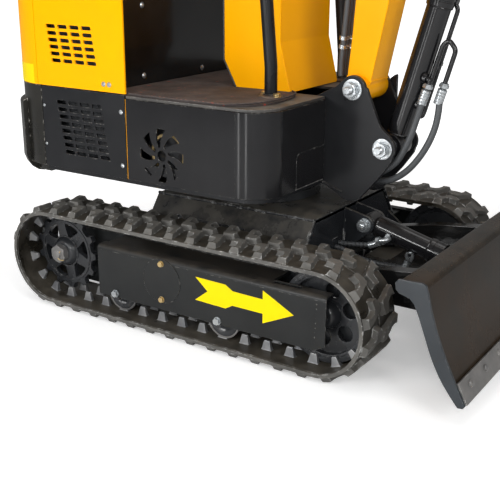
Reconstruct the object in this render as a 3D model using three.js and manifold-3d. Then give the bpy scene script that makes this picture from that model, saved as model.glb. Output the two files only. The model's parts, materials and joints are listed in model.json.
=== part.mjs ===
// Mini excavator of about one tonne, in millimetres.
// +X points forward, +Y to the operator's left and +Z up, with the ground at z = 0.
// Lengths along X are measured from the slew axis; the last lines move the whole machine
// so that its origin is the middle of its footprint.
import * as THREE from 'three';
import { mergeVertices } from 'three/addons/utils/BufferGeometryUtils.js';
import Module from 'manifold-3d';

const wasm = await Module();
wasm.setup();

// ---------------------------------------------------------------- driving dimensions
const clearance = 0.3; // between pieces that touch
const pinClearance = 1; // between a pin and its bore

const track = {
  links: 38, halfBase: 457, height: 157, radius: 143, belt: 12, lug: 14,
  centreY: 375, width: 180, lugRoot: 34, lugTip: 20,
  firstLug: 24, // how far the first lug lies ahead of the rear wheel
};
const frameBox = {
  rear: -275, front: 483, outerY: 440, innerY: 310, wall: 8, top: 228, bottom: 76,
  flange: 36, boxEnd: 300, chamfer: 34,
};
const rollers = { radius: 52, height: 78, stations: [-212, 150], outerY: 410, innerY: 340, axle: 14 };
const sprocket = { teeth: 13, root: 104, tip: 120, halfWidth: 9, hub: 33, hubY: 402, nutY: 417, nut: 27 };
const idler = { rim: 128, rimInner: 106, halfWidth: 22, web: 7, hole: 21, holeCircle: 66, hub: 37 };
const chassis = { rear: -219, front: 320, topY: 218, top: 345, kneeZ: 226, footZ: 150, wall: 12 };
const blade = { pivotX: 352, pivotZ: 196, armY: 236, halfWidth: 465, end: 8, pinRadius: 14 };
const house = {
  side: 398, front: 270, corner: 90, bottom: 412, deck: 660, hoodBase: 665, hoodTop: 925,
  hoodFront: -183, pocketFront: -262, pocketY: 392.4, rearX: -667, rearCorner: 150, panelRear: -503,
  wall: 6, skirtTop: 651.7,
};
const plates = { inner: 68, outer: 80 };
const boomPivot = { x: 350, z: 685 };
const cylinderPivot = { x: 447, z: 533 };
const pinRadius = 17.5;
const boom = {
  lower: 600, upper: 760, lowerLean: 8, upperLean: 50, halfWidth: 55, cheek: 11.5, wall: 6,
};
const armSize = { length: 760, lever: 140, halfWidth: 40, wall: 5, outward: 40 };
const linkage = { spacing: 170, lever: 140 };
const bucketSize = { halfWidth: 200, plate: 8, restCurl: 30 };
const canopy = { postRadius: 17.5, frontX: 168, postY: 207, roofZ: 2150, roofFront: 110, roofRear: -640,
  roofHalf: 400, rearX: -560, rearY: 300 };

const hoseBulkhead = 300; // the front face of the block that the boom cylinder's hoses leave
const hoseRadius = { boom: 9, blade: 7 };
const hoseRoutes = {
  boom_hose_rear: [
    [539.1, -20, 699], [531, -23, 670], [526, -32, 640], [520, -42, 605], [512, -49, 570], [496, -51, 530],
    [474, -51, 494], [440, -50, 466], [400, -46, 452], [352, -42, 447], [hoseBulkhead + 1, -40, 446],
  ],
  boom_hose_front: [
    [580.4, -10, 703], [573, -12, 672], [574, -18, 640], [572, -28, 600], [560, -38, 556], [537, -44, 512],
    [506, -46, 474], [464, -40, 444], [415, -28, 430], [360, -20, 430], [hoseBulkhead + 1, -16, 430],
  ],
  blade_hose_rear: [
    [chassis.front + 2, -72, 243], [340, -71, 243], [372, -62, 244], [410, -50, 247], [443, -42, 259],
  ],
  blade_hose_front: [
    [chassis.front + 2, -92, 236], [343, -91, 233], [385, -80, 214], [430, -62, 200], [475, -43, 193.5],
    [506, -27, 192], [517.6, -19.2, 212.3],
  ],
};

const radians = THREE.MathUtils.degToRad;

// ---------------------------------------------------------------- finishes
const finish = (color, roughness, metalness) => ({ color, roughness, metalness });
const yellowPaint = finish('#f7b500', 0.35, 0.1);
const blackPaint = finish('#2d2d2b', 0.45, 0.1);
const rubber = finish('#3c3a37', 0.85, 0);
const zinc = finish('#c3c8cb', 0.3, 0.9);
const chrome = finish('#dfe3e6', 0.12, 1);
const castIron = finish('#4a4a48', 0.6, 0.5);
const vinyl = finish('#1e1e20', 0.6, 0);
const matRubber = finish('#4a3a35', 0.9, 0);

// ---------------------------------------------------------------- shapes
// An outline is a list of [a, b] points; holes are lists of the same kind.
function outline(points, holes = []) {
  const shape = new THREE.Shape(points.map(([a, b]) => new THREE.Vector2(a, b)));
  for (const hole of holes) {
    shape.holes.push(new THREE.Path(hole.map(([a, b]) => new THREE.Vector2(a, b))));
  }
  return shape;
}

function extrude(points, holes, depth) {
  return new THREE.ExtrudeGeometry(outline(points, holes), { depth, bevelEnabled: false, steps: 1 });
}

// An outline in x and z, from y = low to y = high.
function slabXZ(points, low, high, holes = []) {
  return extrude(points, holes, high - low).rotateX(Math.PI / 2).translate(0, high, 0);
}

// An outline in x and y, from z = low to z = high.
function slabXY(points, low, high, holes = []) {
  return extrude(points, holes, high - low).translate(0, 0, low);
}

// An outline in y and z, from x = low to x = high.
function slabYZ(points, low, high, holes = []) {
  return extrude(points, holes, high - low).rotateX(Math.PI / 2).rotateZ(Math.PI / 2).translate(low, 0, 0);
}

function block(x0, x1, y0, y1, z0, z1) {
  return new THREE.BoxGeometry(x1 - x0, y1 - y0, z1 - z0)
    .translate((x0 + x1) / 2, (y0 + y1) / 2, (z0 + z1) / 2);
}

function circle(x, z, radius, sides = 12) {
  return Array.from({ length: sides }, (_, i) => {
    const turn = (i / sides) * 2 * Math.PI;
    return [x + radius * Math.cos(turn), z + radius * Math.sin(turn)];
  });
}

// The point at one angle, in degrees, around a centre.
function polar(x, z, radius, angle) {
  return [x + radius * Math.cos(radians(angle)), z + radius * Math.sin(radians(angle))];
}

// Points on an arc, both ends included.
function arc(x, z, radius, from, to, steps) {
  return Array.from({ length: steps + 1 }, (_, i) => polar(x, z, radius, from + ((to - from) * i) / steps));
}

function cylinderY(x, z, radius, y0, y1, sides = 12) {
  return slabXZ(circle(x, z, radius, sides), y0, y1);
}

function cylinderZ(x, y, radius, z0, z1, sides = 20) {
  return slabXY(circle(x, y, radius, sides), z0, z1);
}

// A round bar along a path of [x, y, z] points, with rounded bends and a ring about every spacing.
function bar(points, radius, bend, spacing, sides = 8) {
  const corners = points.map((p) => new THREE.Vector3(...p));
  const path = new THREE.CurvePath();
  let start = corners[0];
  for (let i = 1; i < corners.length - 1; i += 1) {
    const into = corners[i].clone().sub(corners[i - 1]).setLength(bend);
    const out = corners[i + 1].clone().sub(corners[i]).setLength(bend);
    const entry = corners[i].clone().sub(into);
    const exit = corners[i].clone().add(out);
    path.add(new THREE.LineCurve3(start, entry));
    path.add(new THREE.QuadraticBezierCurve3(entry, corners[i], exit));
    start = exit;
  }
  path.add(new THREE.LineCurve3(start, corners[corners.length - 1]));
  return new THREE.ExtrudeGeometry(outline(circle(0, 0, radius, sides)), {
    extrudePath: path, steps: Math.round(path.getLength() / spacing), bevelEnabled: false,
  });
}

// A hose through a list of points, with a ring about every two and a half diameters.
function hose(points, radius) {
  const path = new THREE.CatmullRomCurve3(points.map((p) => new THREE.Vector3(...p)));
  return new THREE.ExtrudeGeometry(outline(circle(0, 0, radius, 8)), {
    extrudePath: path, steps: Math.round(path.getLength() / (5 * radius)), bevelEnabled: false,
  });
}

// ---------------------------------------------------------------- booleans
function toSolid(geometry) {
  const plain = geometry.clone();
  plain.deleteAttribute('normal');
  plain.deleteAttribute('uv');
  const merged = mergeVertices(plain, 1e-3);
  return new wasm.Manifold(new wasm.Mesh({
    numProp: 3,
    vertProperties: new Float32Array(merged.attributes.position.array),
    triVerts: new Uint32Array(merged.index.array),
  }));
}

function toGeometry(solid) {
  const { vertProperties, triVerts } = solid.getMesh();
  const geometry = new THREE.BufferGeometry();
  geometry.setAttribute('position', new THREE.BufferAttribute(vertProperties, 3));
  geometry.setIndex(new THREE.BufferAttribute(triVerts, 1));
  return geometry;
}

function join(...shapes) {
  return toGeometry(shapes.map(toSolid).reduce((whole, next) => whole.add(next)));
}

function cut(shape, ...tools) {
  return toGeometry(tools.map(toSolid).reduce((left, tool) => left.subtract(tool), toSolid(shape)));
}

function common(first, second) {
  return toGeometry(toSolid(first).intersect(toSolid(second)));
}

// ---------------------------------------------------------------- scene graph
const machine = new THREE.Group();

function place(parent, name, geometry, look) {
  const mesh = new THREE.Mesh(geometry, new THREE.MeshStandardMaterial(look));
  mesh.name = name;
  parent.add(mesh);
}

function pivot(parent, name, x, z, turn = 0) {
  const group = new THREE.Group();
  group.name = name;
  group.position.set(x, 0, z);
  group.rotation.y = radians(turn);
  parent.add(group);
  return group;
}

const sides = [['right', -1], ['left', 1]];

// Mirrors a shape that was drawn on the right side (negative y) to the left side.
function onSide(geometry, side) {
  if (side < 0) return geometry;
  const solid = toSolid(geometry).mirror([0, 1, 0]);
  return toGeometry(solid);
}

// ---------------------------------------------------------------- tracks
// The track's outline at one distance outside its wheels' centres.
function stadium(radius, steps = 8) {
  return [
    ...arc(track.halfBase, track.height, radius, -90, 90, steps),
    ...arc(-track.halfBase, track.height, radius, 90, 270, steps),
  ];
}

// A point of the stadium at a distance along it, with its outward normal.
function alongTrack(distance, radius) {
  const straight = 2 * track.halfBase;
  const turnLength = Math.PI * radius;
  const lap = 2 * straight + 2 * turnLength;
  let s = ((distance % lap) + lap) % lap;
  if (s < straight) return { x: -track.halfBase + s, z: track.height - radius, nx: 0, nz: -1 };
  s -= straight;
  if (s < turnLength) {
    const turn = s / radius - Math.PI / 2;
    return {
      x: track.halfBase + radius * Math.cos(turn), z: track.height + radius * Math.sin(turn),
      nx: Math.cos(turn), nz: Math.sin(turn),
    };
  }
  s -= turnLength;
  if (s < straight) return { x: track.halfBase - s, z: track.height + radius, nx: 0, nz: 1 };
  const turn = (s - straight) / radius + Math.PI / 2;
  return {
    x: -track.halfBase + radius * Math.cos(turn), z: track.height + radius * Math.sin(turn),
    nx: Math.cos(turn), nz: Math.sin(turn),
  };
}

// A closed loop of belt with one lug across it at every pitch.
function buildTrack() {
  const outer = track.centreY + track.width / 2;
  const inner = track.centreY - track.width / 2;
  const pitch = (4 * track.halfBase + 2 * Math.PI * track.radius) / track.links;
  const lugProfile = [
    [-track.lugRoot / 2, 0], [-track.lugTip / 2, track.lug],
    [track.lugTip / 2, track.lug], [track.lugRoot / 2, 0],
  ];
  const points = [];
  for (let i = 0; i < track.links; i += 1) {
    for (const [offset, height] of lugProfile) {
      const p = alongTrack(track.firstLug + i * pitch + offset, track.radius);
      points.push([p.x + height * p.nx, p.z + height * p.nz]);
    }
  }
  return slabXZ(points, -outer, -inner, [stadium(track.radius - track.belt)]);
}

function buildTrackFrame() {
  const f = frameBox;
  const outerWall = slabXZ([
    [f.rear, f.bottom], [f.front - f.chamfer, f.bottom], [f.front, f.bottom + 16], [f.front, f.top],
    [f.rear, f.top],
  ], -f.outerY, -f.outerY + f.wall);
  const flange = block(f.rear, f.front, -f.outerY + 2, -f.outerY + f.flange, f.top - f.wall, f.top);
  const top = block(f.rear, f.boxEnd, -f.outerY + 2, -f.innerY, f.top - f.wall, f.top);
  const innerWall = slabXZ([
    [-520, 112], [-500, 96], [f.rear, 96], [f.boxEnd, 96], [f.boxEnd, f.top], [f.rear, f.top],
    [-500, 218], [-520, 202],
  ], -f.innerY - f.wall, -f.innerY, [circle(-track.halfBase, track.height, 46, 16)]);
  const yoke = slabXZ([
    [250, 138], [440, 132], [490, 132], [490, 182], [440, 182], [250, 200],
  ], -346, -337, [circle(track.halfBase, track.height, 17, 16)]);
  const yokeRoot = block(250, f.boxEnd, -346, -f.innerY - 1, 150, 190);
  const cover = cylinderY(-38, 163, 65, -f.outerY - 4, -f.outerY + 1, 24);
  const drums = rollers.stations.map(buildRoller);
  return join(outerWall, flange, top, innerWall, yoke, yokeRoot, cover, ...drums);
}

function buildRoller(x) {
  const r = rollers;
  const drum = join(
    cylinderY(x, r.height, r.radius, -r.outerY, -r.outerY + 16, 18),
    cylinderY(x, r.height, r.radius - 9, -r.outerY + 15, -r.innerY - 15, 18),
    cylinderY(x, r.height, r.radius, -r.innerY - 16, -r.innerY, 18),
  );
  const axle = cylinderY(x, r.height, r.axle, -frameBox.outerY - 6, -frameBox.innerY - 2);
  return join(drum, axle);
}

function buildSprocket() {
  const s = sprocket;
  const step = 360 / s.teeth;
  const teeth = [];
  for (let i = 0; i < s.teeth; i += 1) {
    const at = i * step;
    for (const [turn, radius] of [[-0.32, s.root], [-0.16, s.tip], [0.16, s.tip], [0.32, s.root]]) {
      teeth.push(polar(-track.halfBase, track.height, radius, at + turn * step));
    }
  }
  const windows = Array.from({ length: 6 }, (_, i) => [
    ...arc(-track.halfBase, track.height, 84, i * 60 - 19, i * 60 + 19, 2),
    ...arc(-track.halfBase, track.height, 50, i * 60 + 10, i * 60 - 10, 1),
  ]);
  const disc = slabXZ(teeth, -track.centreY - s.halfWidth, -track.centreY + s.halfWidth, windows);
  const hub = cylinderY(-track.halfBase, track.height, s.hub, -s.hubY, -track.centreY, 16);
  const nut = cylinderY(-track.halfBase, track.height, s.nut, -s.nutY, -s.hubY + 1, 6);
  return join(disc, hub, nut);
}

function buildIdler() {
  const w = idler;
  const profile = [
    [0, -w.web - 14], [w.hub - 12, -w.web - 14], [w.hub, -w.web - 2], [w.hub + 2, -w.web],
    [w.rimInner, -w.web], [w.rimInner + 4, -w.halfWidth + 4], [w.rimInner + 9, -w.halfWidth],
    [w.rim, -w.halfWidth], [w.rim, w.halfWidth], [w.rimInner + 9, w.halfWidth],
    [w.rimInner, w.web], [w.hub, w.web], [w.hub, 27], [0, 27],
  ].map(([r, y]) => new THREE.Vector2(r, y));
  const wheel = new THREE.LatheGeometry(profile, 20).translate(track.halfBase, -track.centreY, track.height);
  const holes = Array.from({ length: 6 }, (_, i) => cylinderY(
    track.halfBase + w.holeCircle * Math.cos(radians(i * 60)),
    track.height + w.holeCircle * Math.sin(radians(i * 60)),
    w.hole, -track.centreY - 12, -track.centreY + 12, 8,
  ));
  const axle = cylinderY(track.halfBase, track.height, 16, -track.centreY + 20, -330, 16);
  return join(cut(wheel, ...holes), axle);
}

function buildTravelMotor() {
  const wheelFace = -track.centreY + sprocket.halfWidth + clearance;
  const gearbox = cylinderY(-track.halfBase, track.height, 44, wheelFace, -296, 18);
  const motor = slabXZ([
    [-520, 118], [-500, 106], [-420, 106], [-404, 118], [-404, 196], [-420, 208], [-500, 208], [-520, 196],
  ], -309.4, -222);
  const ports = block(-500, -440, -262, -232, 200, 236);
  return join(gearbox, motor, ports);
}

// ---------------------------------------------------------------- chassis
function buildChassis() {
  const c = chassis;
  const foot = frameBox.innerY - clearance;
  const inside = c.topY - c.wall / 2;
  const shell = slabYZ([
    [-foot, c.footZ], [-foot, c.kneeZ], [-c.topY, c.top], [c.topY, c.top], [foot, c.kneeZ],
    [foot, c.footZ], [foot - c.wall, c.footZ], [foot - c.wall, c.kneeZ - 4], [inside, c.top - c.wall],
    [-inside, c.top - c.wall], [-foot + c.wall, c.kneeZ - 4], [-foot + c.wall, c.footZ],
  ], c.rear, c.front);
  const front = slabYZ([
    [-c.topY, c.top - 2], [c.topY, c.top - 2], [foot - 4, c.kneeZ - 2], [foot - 4, 176], [-foot + 4, 176],
    [-foot + 4, c.kneeZ - 2],
  ], c.front - c.wall, c.front);
  const slots = [
    slabXZ([...arc(96, 292, 14, -90, 90, 3), ...arc(-66, 292, 14, 90, 270, 3)], -400, 400),
    cylinderY(-122, 292, 15, -400, 400, 8),
  ];
  const bladeLugs = sides.flatMap(([, side]) => [-1, 1].map((edge) => {
    const middle = side * blade.armY + edge * 27;
    return slabXZ([
      [c.front - 2, 160], [blade.pivotX, blade.pivotZ - 32],
      ...arc(blade.pivotX, blade.pivotZ, 32, -70, 60, 3), [c.front - 2, 262],
    ], middle - 5, middle + 5);
  }));
  const cylinderLugs = [-41, 31].map((y) => slabXZ([
    [c.front - 2, 210], ...arc(385, 298, 27, -60, 80, 4), [c.front - 2, 340],
  ], y, y + 10));
  const bladePins = sides.map(([, side]) => (
    cylinderY(blade.pivotX, blade.pivotZ, blade.pinRadius, side * blade.armY - 38, side * blade.armY + 38)
  ));
  const cylinderPin = cylinderY(385, 298, 12, -52, 50);
  const belly = block(c.front - 2, 400, -305, 305, 146, 152);
  return join(cut(shell, ...slots), front, ...bladeLugs, ...cylinderLugs, ...bladePins, cylinderPin, belly);
}

function ringZ(outer, inner, z0, z1) {
  return slabXY(circle(0, 0, outer, 32), z0, z1, [circle(0, 0, inner, 24)]);
}

// ---------------------------------------------------------------- blade
function buildBlade() {
  const b = blade;
  const section = [
    [681, 322], [693, 324], [745, 321], [764, 262], [791, 190], [826, 112], [858, 50], [846, 47],
    [806, 100], [771, 172], [744, 240], [727, 288], [715, 296], [684, 300],
  ];
  const plate = slabXZ(section, -b.halfWidth + b.end, b.halfWidth - b.end);
  const endPlate = [
    [675, 327], [750, 327], [770, 262], [797, 190], [832, 112], [864, 48], [842, 42], [795, 98],
    [700, 250],
  ];
  const ends = [-b.halfWidth, b.halfWidth - b.end - 0.1].map((y) => slabXZ(endPlate, y, y + b.end + 0.1));
  const arms = sides.map(([, side]) => slabXZ([
    ...arc(b.pivotX, b.pivotZ, 26, 100, 260, 6), [500, 169], [600, 169], [786, 169], [748, 282],
    [500, 254],
  ], side * b.armY - 20, side * b.armY + 20, [circle(b.pivotX, b.pivotZ, b.pinRadius + pinClearance)]));
  // the web is open above the middle for the hose that hangs there
  const web = join(
    block(545, 770, -b.armY, b.armY, 169, 178), block(430, 546, -b.armY, -105, 169, 178),
    block(430, 546, 15, b.armY, 169, 178),
  );
  const lugs = [-41, 31].map((y) => slabXZ([
    [745, 300], [732, 240], [752, 200], ...arc(690, 217, 24, 250, 100, 6),
  ], y, y + 10));
  return join(plate, ...ends, ...arms, web, ...lugs);
}

// ---------------------------------------------------------------- hydraulic cylinders
// A cylinder is drawn along +Z from its base pin; the rod hangs from its own eye. A port is a
// block that stands out of the tube.
function buildBarrel(c) {
  const profile = [
    [0, c.eye - 7], [c.tube - 6, c.eye - 7], [c.tube, c.eye + 4], [c.tube, c.length - 44],
    [c.tube + 4, c.length - 44], [c.tube + 4, c.length], [c.rod + pinClearance, c.length],
    [c.rod + pinClearance, 46], [0, 46],
  ].map(([r, z]) => new THREE.Vector2(r, z));
  const tube = new THREE.LatheGeometry(profile, 16).rotateX(Math.PI / 2);
  const eye = cylinderY(0, 0, c.eye, -c.eyeHalf, c.eyeHalf, 16);
  const ports = c.ports.map((port) => block(...port));
  const bore = cylinderY(0, 0, c.pin + pinClearance, -c.eyeHalf - 1, c.eyeHalf + 1);
  return cut(join(tube, eye, ...ports), bore);
}

function buildRod(c) {
  const rod = cylinderZ(0, 0, c.rod, -c.rodLength, -c.rodEye + 6, 16);
  const eye = cylinderY(0, 0, c.rodEye, -c.eyeHalf, c.eyeHalf, 16);
  return cut(join(rod, eye), cylinderY(0, 0, c.pin, -c.eyeHalf - 1, c.eyeHalf + 1));
}

// Both halves in place between two pins of the parent group.
function placeCylinder(parent, name, base, tip, c) {
  const lean = THREE.MathUtils.radToDeg(Math.atan2(tip.x - base.x, tip.z - base.z));
  place(pivot(parent, `${name} base`, base.x, base.z, lean), `${name}_barrel`, buildBarrel(c), blackPaint);
  place(pivot(parent, `${name} eye`, tip.x, tip.z, lean), `${name}_rod`, buildRod(c), chrome);
}

function buildPin(x, z, radius, half, head) {
  return join(
    cylinderY(x, z, radius, -half - head, half + head),
    cylinderY(x, z, radius + 8, half, half + head),
    cylinderY(x, z, radius + 8, -half - head, -half),
  );
}

// ---------------------------------------------------------------- house
// The house's plan: square-sided with rounded corners, from x = rear to x = front.
function housePlan(inset, rear, front, rearCorner, frontCorner) {
  const side = house.side - inset;
  const points = [];
  const corners = [
    [front - frontCorner, -side + frontCorner, frontCorner, -90],
    [front - frontCorner, side - frontCorner, frontCorner, 0],
    [rear + rearCorner, side - rearCorner, rearCorner, 90],
    [rear + rearCorner, -side + rearCorner, rearCorner, 180],
  ];
  for (const [x, y, radius, start] of corners) points.push(...arc(x, y, radius, start, start + 90, 6));
  return points;
}

function buildTurntable() {
  const plan = housePlan(8, -504.6, house.front - 8, 20, house.corner - 8);
  const base = slabXY(plan, house.bottom, house.bottom + 12);
  const beam = block(-500, 250, -plates.outer, plates.outer, house.bottom + 11, house.bottom + 40);
  const bulkhead = block(240, hoseBulkhead, -60, 60, house.bottom + 4, 470);
  const bracket = [
    [120, 424], [272, 412], [339, 372], [375, 379], [442, 454], [474, 500], ...arc(447, 533, 36, -30, 50, 4),
    [429, 601], [409, 640], ...arc(boomPivot.x, boomPivot.z, 38, 12, 120, 6), [300, 690], [200, 640],
    [120, 560],
  ];
  const holes = [
    circle(boomPivot.x, boomPivot.z, pinRadius + pinClearance),
    circle(cylinderPivot.x, cylinderPivot.z, pinRadius + pinClearance),
  ];
  const brackets = [-plates.outer, plates.inner].map((y) => slabXZ(bracket, y, y + 12, holes));
  return join(base, beam, bulkhead, ...brackets);
}

function buildFloor() {
  const plan = housePlan(4, house.hoodFront, house.front - 4, 4, house.corner - 4);
  const notch = block(110, 400, -plates.outer - 2, plates.outer + 2, 600, 700);
  const underSeat = block(
    house.pocketFront, house.hoodFront + 3, -house.side + 7, house.side - 7, house.deck - 8, house.deck,
  );
  return cut(join(slabXY(plan, house.deck - 8, house.deck), underSeat), notch);
}

function buildMat() {
  const plan = [
    [-256, -388], [140, -388], [205, -345], [230, -270], [222, -180],
    [198, -110], [172, -92], [172, -110], [-24, -110], [-24, 388], [-256, 388],
  ];
  const foot = circle(canopy.frontX, -canopy.postY, 33);
  return slabXY(plan, house.deck + clearance, house.deck + 6, [foot]);
}

function buildSkirt() {
  const h = house;
  const outside = housePlan(0, -600, h.front, 50, h.corner);
  const inside = housePlan(h.wall, -560, h.front - h.wall, 40, h.corner - h.wall);
  const ring = slabXY(outside, h.bottom + 13, h.skirtTop, [inside]);
  return common(ring, block(h.hoodFront, 400, -500, -plates.outer - 4, 400, 700));
}

function buildSidePanel() {
  const h = house;
  return block(h.panelRear, h.hoodFront - 4, -h.side, -h.side + h.wall, h.bottom + 13, h.deck + 2);
}

function buildCounterweight() {
  const plan = housePlan(-14, house.rearX - 14, -505, 164, 2);
  const hollow = housePlan(40, house.rearX + 90, 0, 90, 2);
  const body = slabXY(plan, 392, 615);
  const lip = slabXY(housePlan(0, house.rearX, -505, 150, 2), 377, 393);
  return cut(join(body, lip), slabXY(hollow, 424.5, 620));
}

function buildHood() {
  const h = house;
  const outer = slabXY(housePlan(0, h.rearX, h.hoodFront, h.rearCorner, 3), h.hoodBase, h.hoodTop);
  const inner = slabXY(
    housePlan(h.wall, h.rearX + h.wall, h.hoodFront - h.wall, h.rearCorner - h.wall, 3), h.hoodBase - 5,
    h.hoodTop - h.wall,
  );
  const pocket = block(h.pocketFront - 26, 0, -h.pocketY, h.pocketY, h.hoodBase - 5, h.hoodTop + 5);
  const doorway = block(-720, h.rearX + 40, -218, 218, h.hoodBase - 5, 880);
  return cut(outer, inner, pocket, doorway);
}

function buildRearDoor() {
  const h = house;
  const skin = block(h.rearX - 4, h.rearX + 14, -216, 216, 620, 877.5);
  const latch = block(h.rearX - 16, h.rearX - 3, -190, -140, 740, 780);
  return join(skin, latch);
}

function buildSeatBox() {
  const h = house;
  const halfWidth = h.side - h.wall - 1;
  return block(h.pocketFront - 25, h.pocketFront, -halfWidth, halfWidth, h.deck + clearance, h.hoodTop);
}

function roundedBox(x0, x1, y0, y1, z0, z1, radius) {
  const plan = [
    ...arc(x1 - radius, y0 + radius, radius, -90, 0, 4), ...arc(x1 - radius, y1 - radius, radius, 0, 90, 4),
    ...arc(x0 + radius, y1 - radius, radius, 90, 180, 4),
    ...arc(x0 + radius, y0 + radius, radius, 180, 270, 4),
  ];
  return slabXY(plan, z0, z1);
}

function buildSeatCushion() {
  return roundedBox(-500, -215, -225, 225, house.hoodTop + clearance, 1017, 50);
}

function buildSeatBack() {
  return slabXZ([
    [-478, 1017.3], [-420, 1017.3], [-440, 1120], [-462, 1290], [-474, 1318], [-500, 1322], [-520, 1306],
    [-522, 1270], [-496, 1120],
  ], -215, 215);
}

function buildConsole() {
  const foot = house.deck + 3.6;
  const outer = slabXZ([
    [168, foot], [134, 745], [134, 985], [96, 1040], [-24, 1040], [-56, 1010], [-56, 741], [-14, foot],
  ], -106, 176);
  const inner = slabXZ([
    [162, foot - 1], [128, 744], [128, 983], [93, 1034], [-22, 1034], [-50, 1008], [-50, 743],
    [-8, foot - 1],
  ], -100, 170);
  return cut(outer, inner);
}

function buildLevers() {
  const items = [];
  for (const y of [-40, 118]) {
    items.push(bar([[50, y, 1045], [46, y, 1120], [18, y, 1215]], 8, 30, 48, 6));
    items.push(cylinderZ(0, 0, 20, 1205, 1260, 14).translate(14, y, 0));
  }
  for (const y of [18, 60]) {
    items.push(bar([[80, y, 1045], [84, y, 1120], [66, y, 1210]], 8, 30, 48, 6));
  }
  items.push(block(-10, 92, -70, 148, 1040 + clearance, 1052));
  return join(...items);
}

// ---------------------------------------------------------------- canopy
function frontPostPath(side) {
  const c = canopy;
  return [
    [c.frontX, side * c.postY, house.deck + 10], [c.frontX, side * c.postY, 745],
    [c.frontX - 128, side * c.postY, c.roofZ - 60], [c.frontX - 230, side * (c.postY + 30), c.roofZ - 22],
  ];
}

function buildFrontPost(side) {
  const c = canopy;
  const foot = cylinderZ(c.frontX, side * c.postY, 30, house.deck + clearance, house.deck + 11, 20);
  return join(bar(frontPostPath(side), c.postRadius, 55, 110), foot);
}

function buildRearPost(side) {
  const c = canopy;
  const floor = house.hoodTop + clearance;
  const foot = block(c.rearX - 40, c.rearX + 40, side * c.rearY - 32, side * c.rearY + 32, floor, floor + 10);
  const post = bar([
    [c.rearX, side * c.rearY, house.hoodTop + 5], [c.rearX, side * c.rearY, c.roofZ - 60],
    [c.rearX + 110, side * c.rearY, c.roofZ - 22],
  ], c.postRadius, 55, 110);
  return join(post, foot);
}

function buildRoof() {
  const c = canopy;
  const plan = (inset) => {
    const x0 = c.roofRear + inset;
    const x1 = c.roofFront - inset;
    const y = c.roofHalf - inset;
    const r = 70 - inset;
    return [
      ...arc(x1 - r, -y + r, r, -90, 0, 5), ...arc(x1 - r, y - r, r, 0, 90, 5),
      ...arc(x0 + r, y - r, r, 90, 180, 5), ...arc(x0 + r, -y + r, r, 180, 270, 5),
    ];
  };
  const shell = join(slabXY(plan(0), c.roofZ, c.roofZ + 30), slabXY(plan(22), c.roofZ + 29, c.roofZ + 52));
  return cut(shell, slabXY(plan(34), c.roofZ - 1, c.roofZ + 44));
}

// ---------------------------------------------------------------- boom
const boomDirections = (() => {
  const make = (lean) => {
    const a = radians(lean);
    return { along: [Math.sin(a), Math.cos(a)], across: [Math.cos(a), -Math.sin(a)] };
  };
  return { lower: make(boom.lowerLean), upper: make(boom.upperLean) };
})();

// A point of the boom, relative to its foot pin, from a distance along and across one section.
function boomPoint(section, along, across) {
  const { lower, upper } = boomDirections;
  const origin = section === 'lower' ? [0, 0] : lower.along.map((v) => v * boom.lower);
  const d = section === 'lower' ? lower : upper;
  return [0, 1].map((i) => origin[i] + along * d.along[i] + across * d.across[i]);
}

const armPin = boomPoint('upper', boom.upper, 0);
const boomRodPin = boomPoint('upper', 150, 150);
const armCylinderPin = boomPoint('upper', -10, -128);

function boomOutline(inset) {
  return [
    boomPoint('lower', -24 + inset * 2, 22 - inset * 0.5), boomPoint('lower', 24, 36 - inset),
    boomPoint('lower', 130, 42 - inset), boomPoint('lower', boom.lower - 150, 60 - inset),
    boomPoint('upper', -20, 80 - inset), boomPoint('upper', 110, 66 - inset),
    boomPoint('upper', boom.upper - 200 - inset, 48 - inset),
    boomPoint('upper', boom.upper - 215 - inset, -46 + inset),
    boomPoint('upper', 60, -66 + inset), boomPoint('upper', -60, -60 + inset),
    boomPoint('lower', boom.lower - 110, -66 + inset), boomPoint('lower', 130, -40 + inset),
    boomPoint('lower', 20, -35 + inset), boomPoint('lower', -24 + inset * 2, -22 + inset * 0.5),
  ];
}

function buildBoom() {
  const w = boom.halfWidth;
  const box = slabXZ(boomOutline(0), -w, w);
  const hollow = slabXZ(boomOutline(boom.wall), -w + boom.wall, w - boom.wall);
  const [vx, vz] = boomPoint('lower', 300, 0);
  const pipeHole = cylinderY(vx, vz, 16, -w - 5, 0, 16);
  const footBoss = cylinderY(0, 0, 38, -plates.inner + 0.6, plates.inner - 0.6, 16);
  const footBore = cylinderY(0, 0, pinRadius + pinClearance, -90, 90);
  const tipCheeks = [-w, w - boom.cheek].map((y) => slabXZ([
    boomPoint('upper', boom.upper - 330, 52), boomPoint('upper', boom.upper - 60, 40),
    ...arc(armPin[0], armPin[1], 42, -40, 120, 5),
    boomPoint('upper', boom.upper - 60, -40), boomPoint('upper', boom.upper - 330, -50),
  ], y, y + boom.cheek));
  const tipBore = cylinderY(armPin[0], armPin[1], 15 + pinClearance, -90, 90);
  const rodLugs = [-w, w - boom.cheek].map((y) => slabXZ([
    boomPoint('upper', 20, 60), boomPoint('upper', 100, 152), boomPoint('upper', 126, 182),
    boomPoint('upper', 174, 182), boomPoint('upper', 204, 150), boomPoint('upper', 300, 55),
  ], y, y + boom.cheek));
  const armLugs = [-w, w - boom.cheek].map((y) => slabXZ([
    boomPoint('upper', -110, -40), boomPoint('upper', -52, -140), boomPoint('upper', -26, -158),
    boomPoint('upper', 8, -158), boomPoint('upper', 26, -136), boomPoint('upper', 100, -50),
  ], y, y + boom.cheek));
  const cylinderPin = cylinderY(...armCylinderPin, 15, -w - 7, w + 7);
  const shell = cut(box, hollow, pipeHole);
  return cut(join(shell, footBoss, ...tipCheeks, ...rodLugs, ...armLugs, cylinderPin), footBore, tipBore);
}

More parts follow.
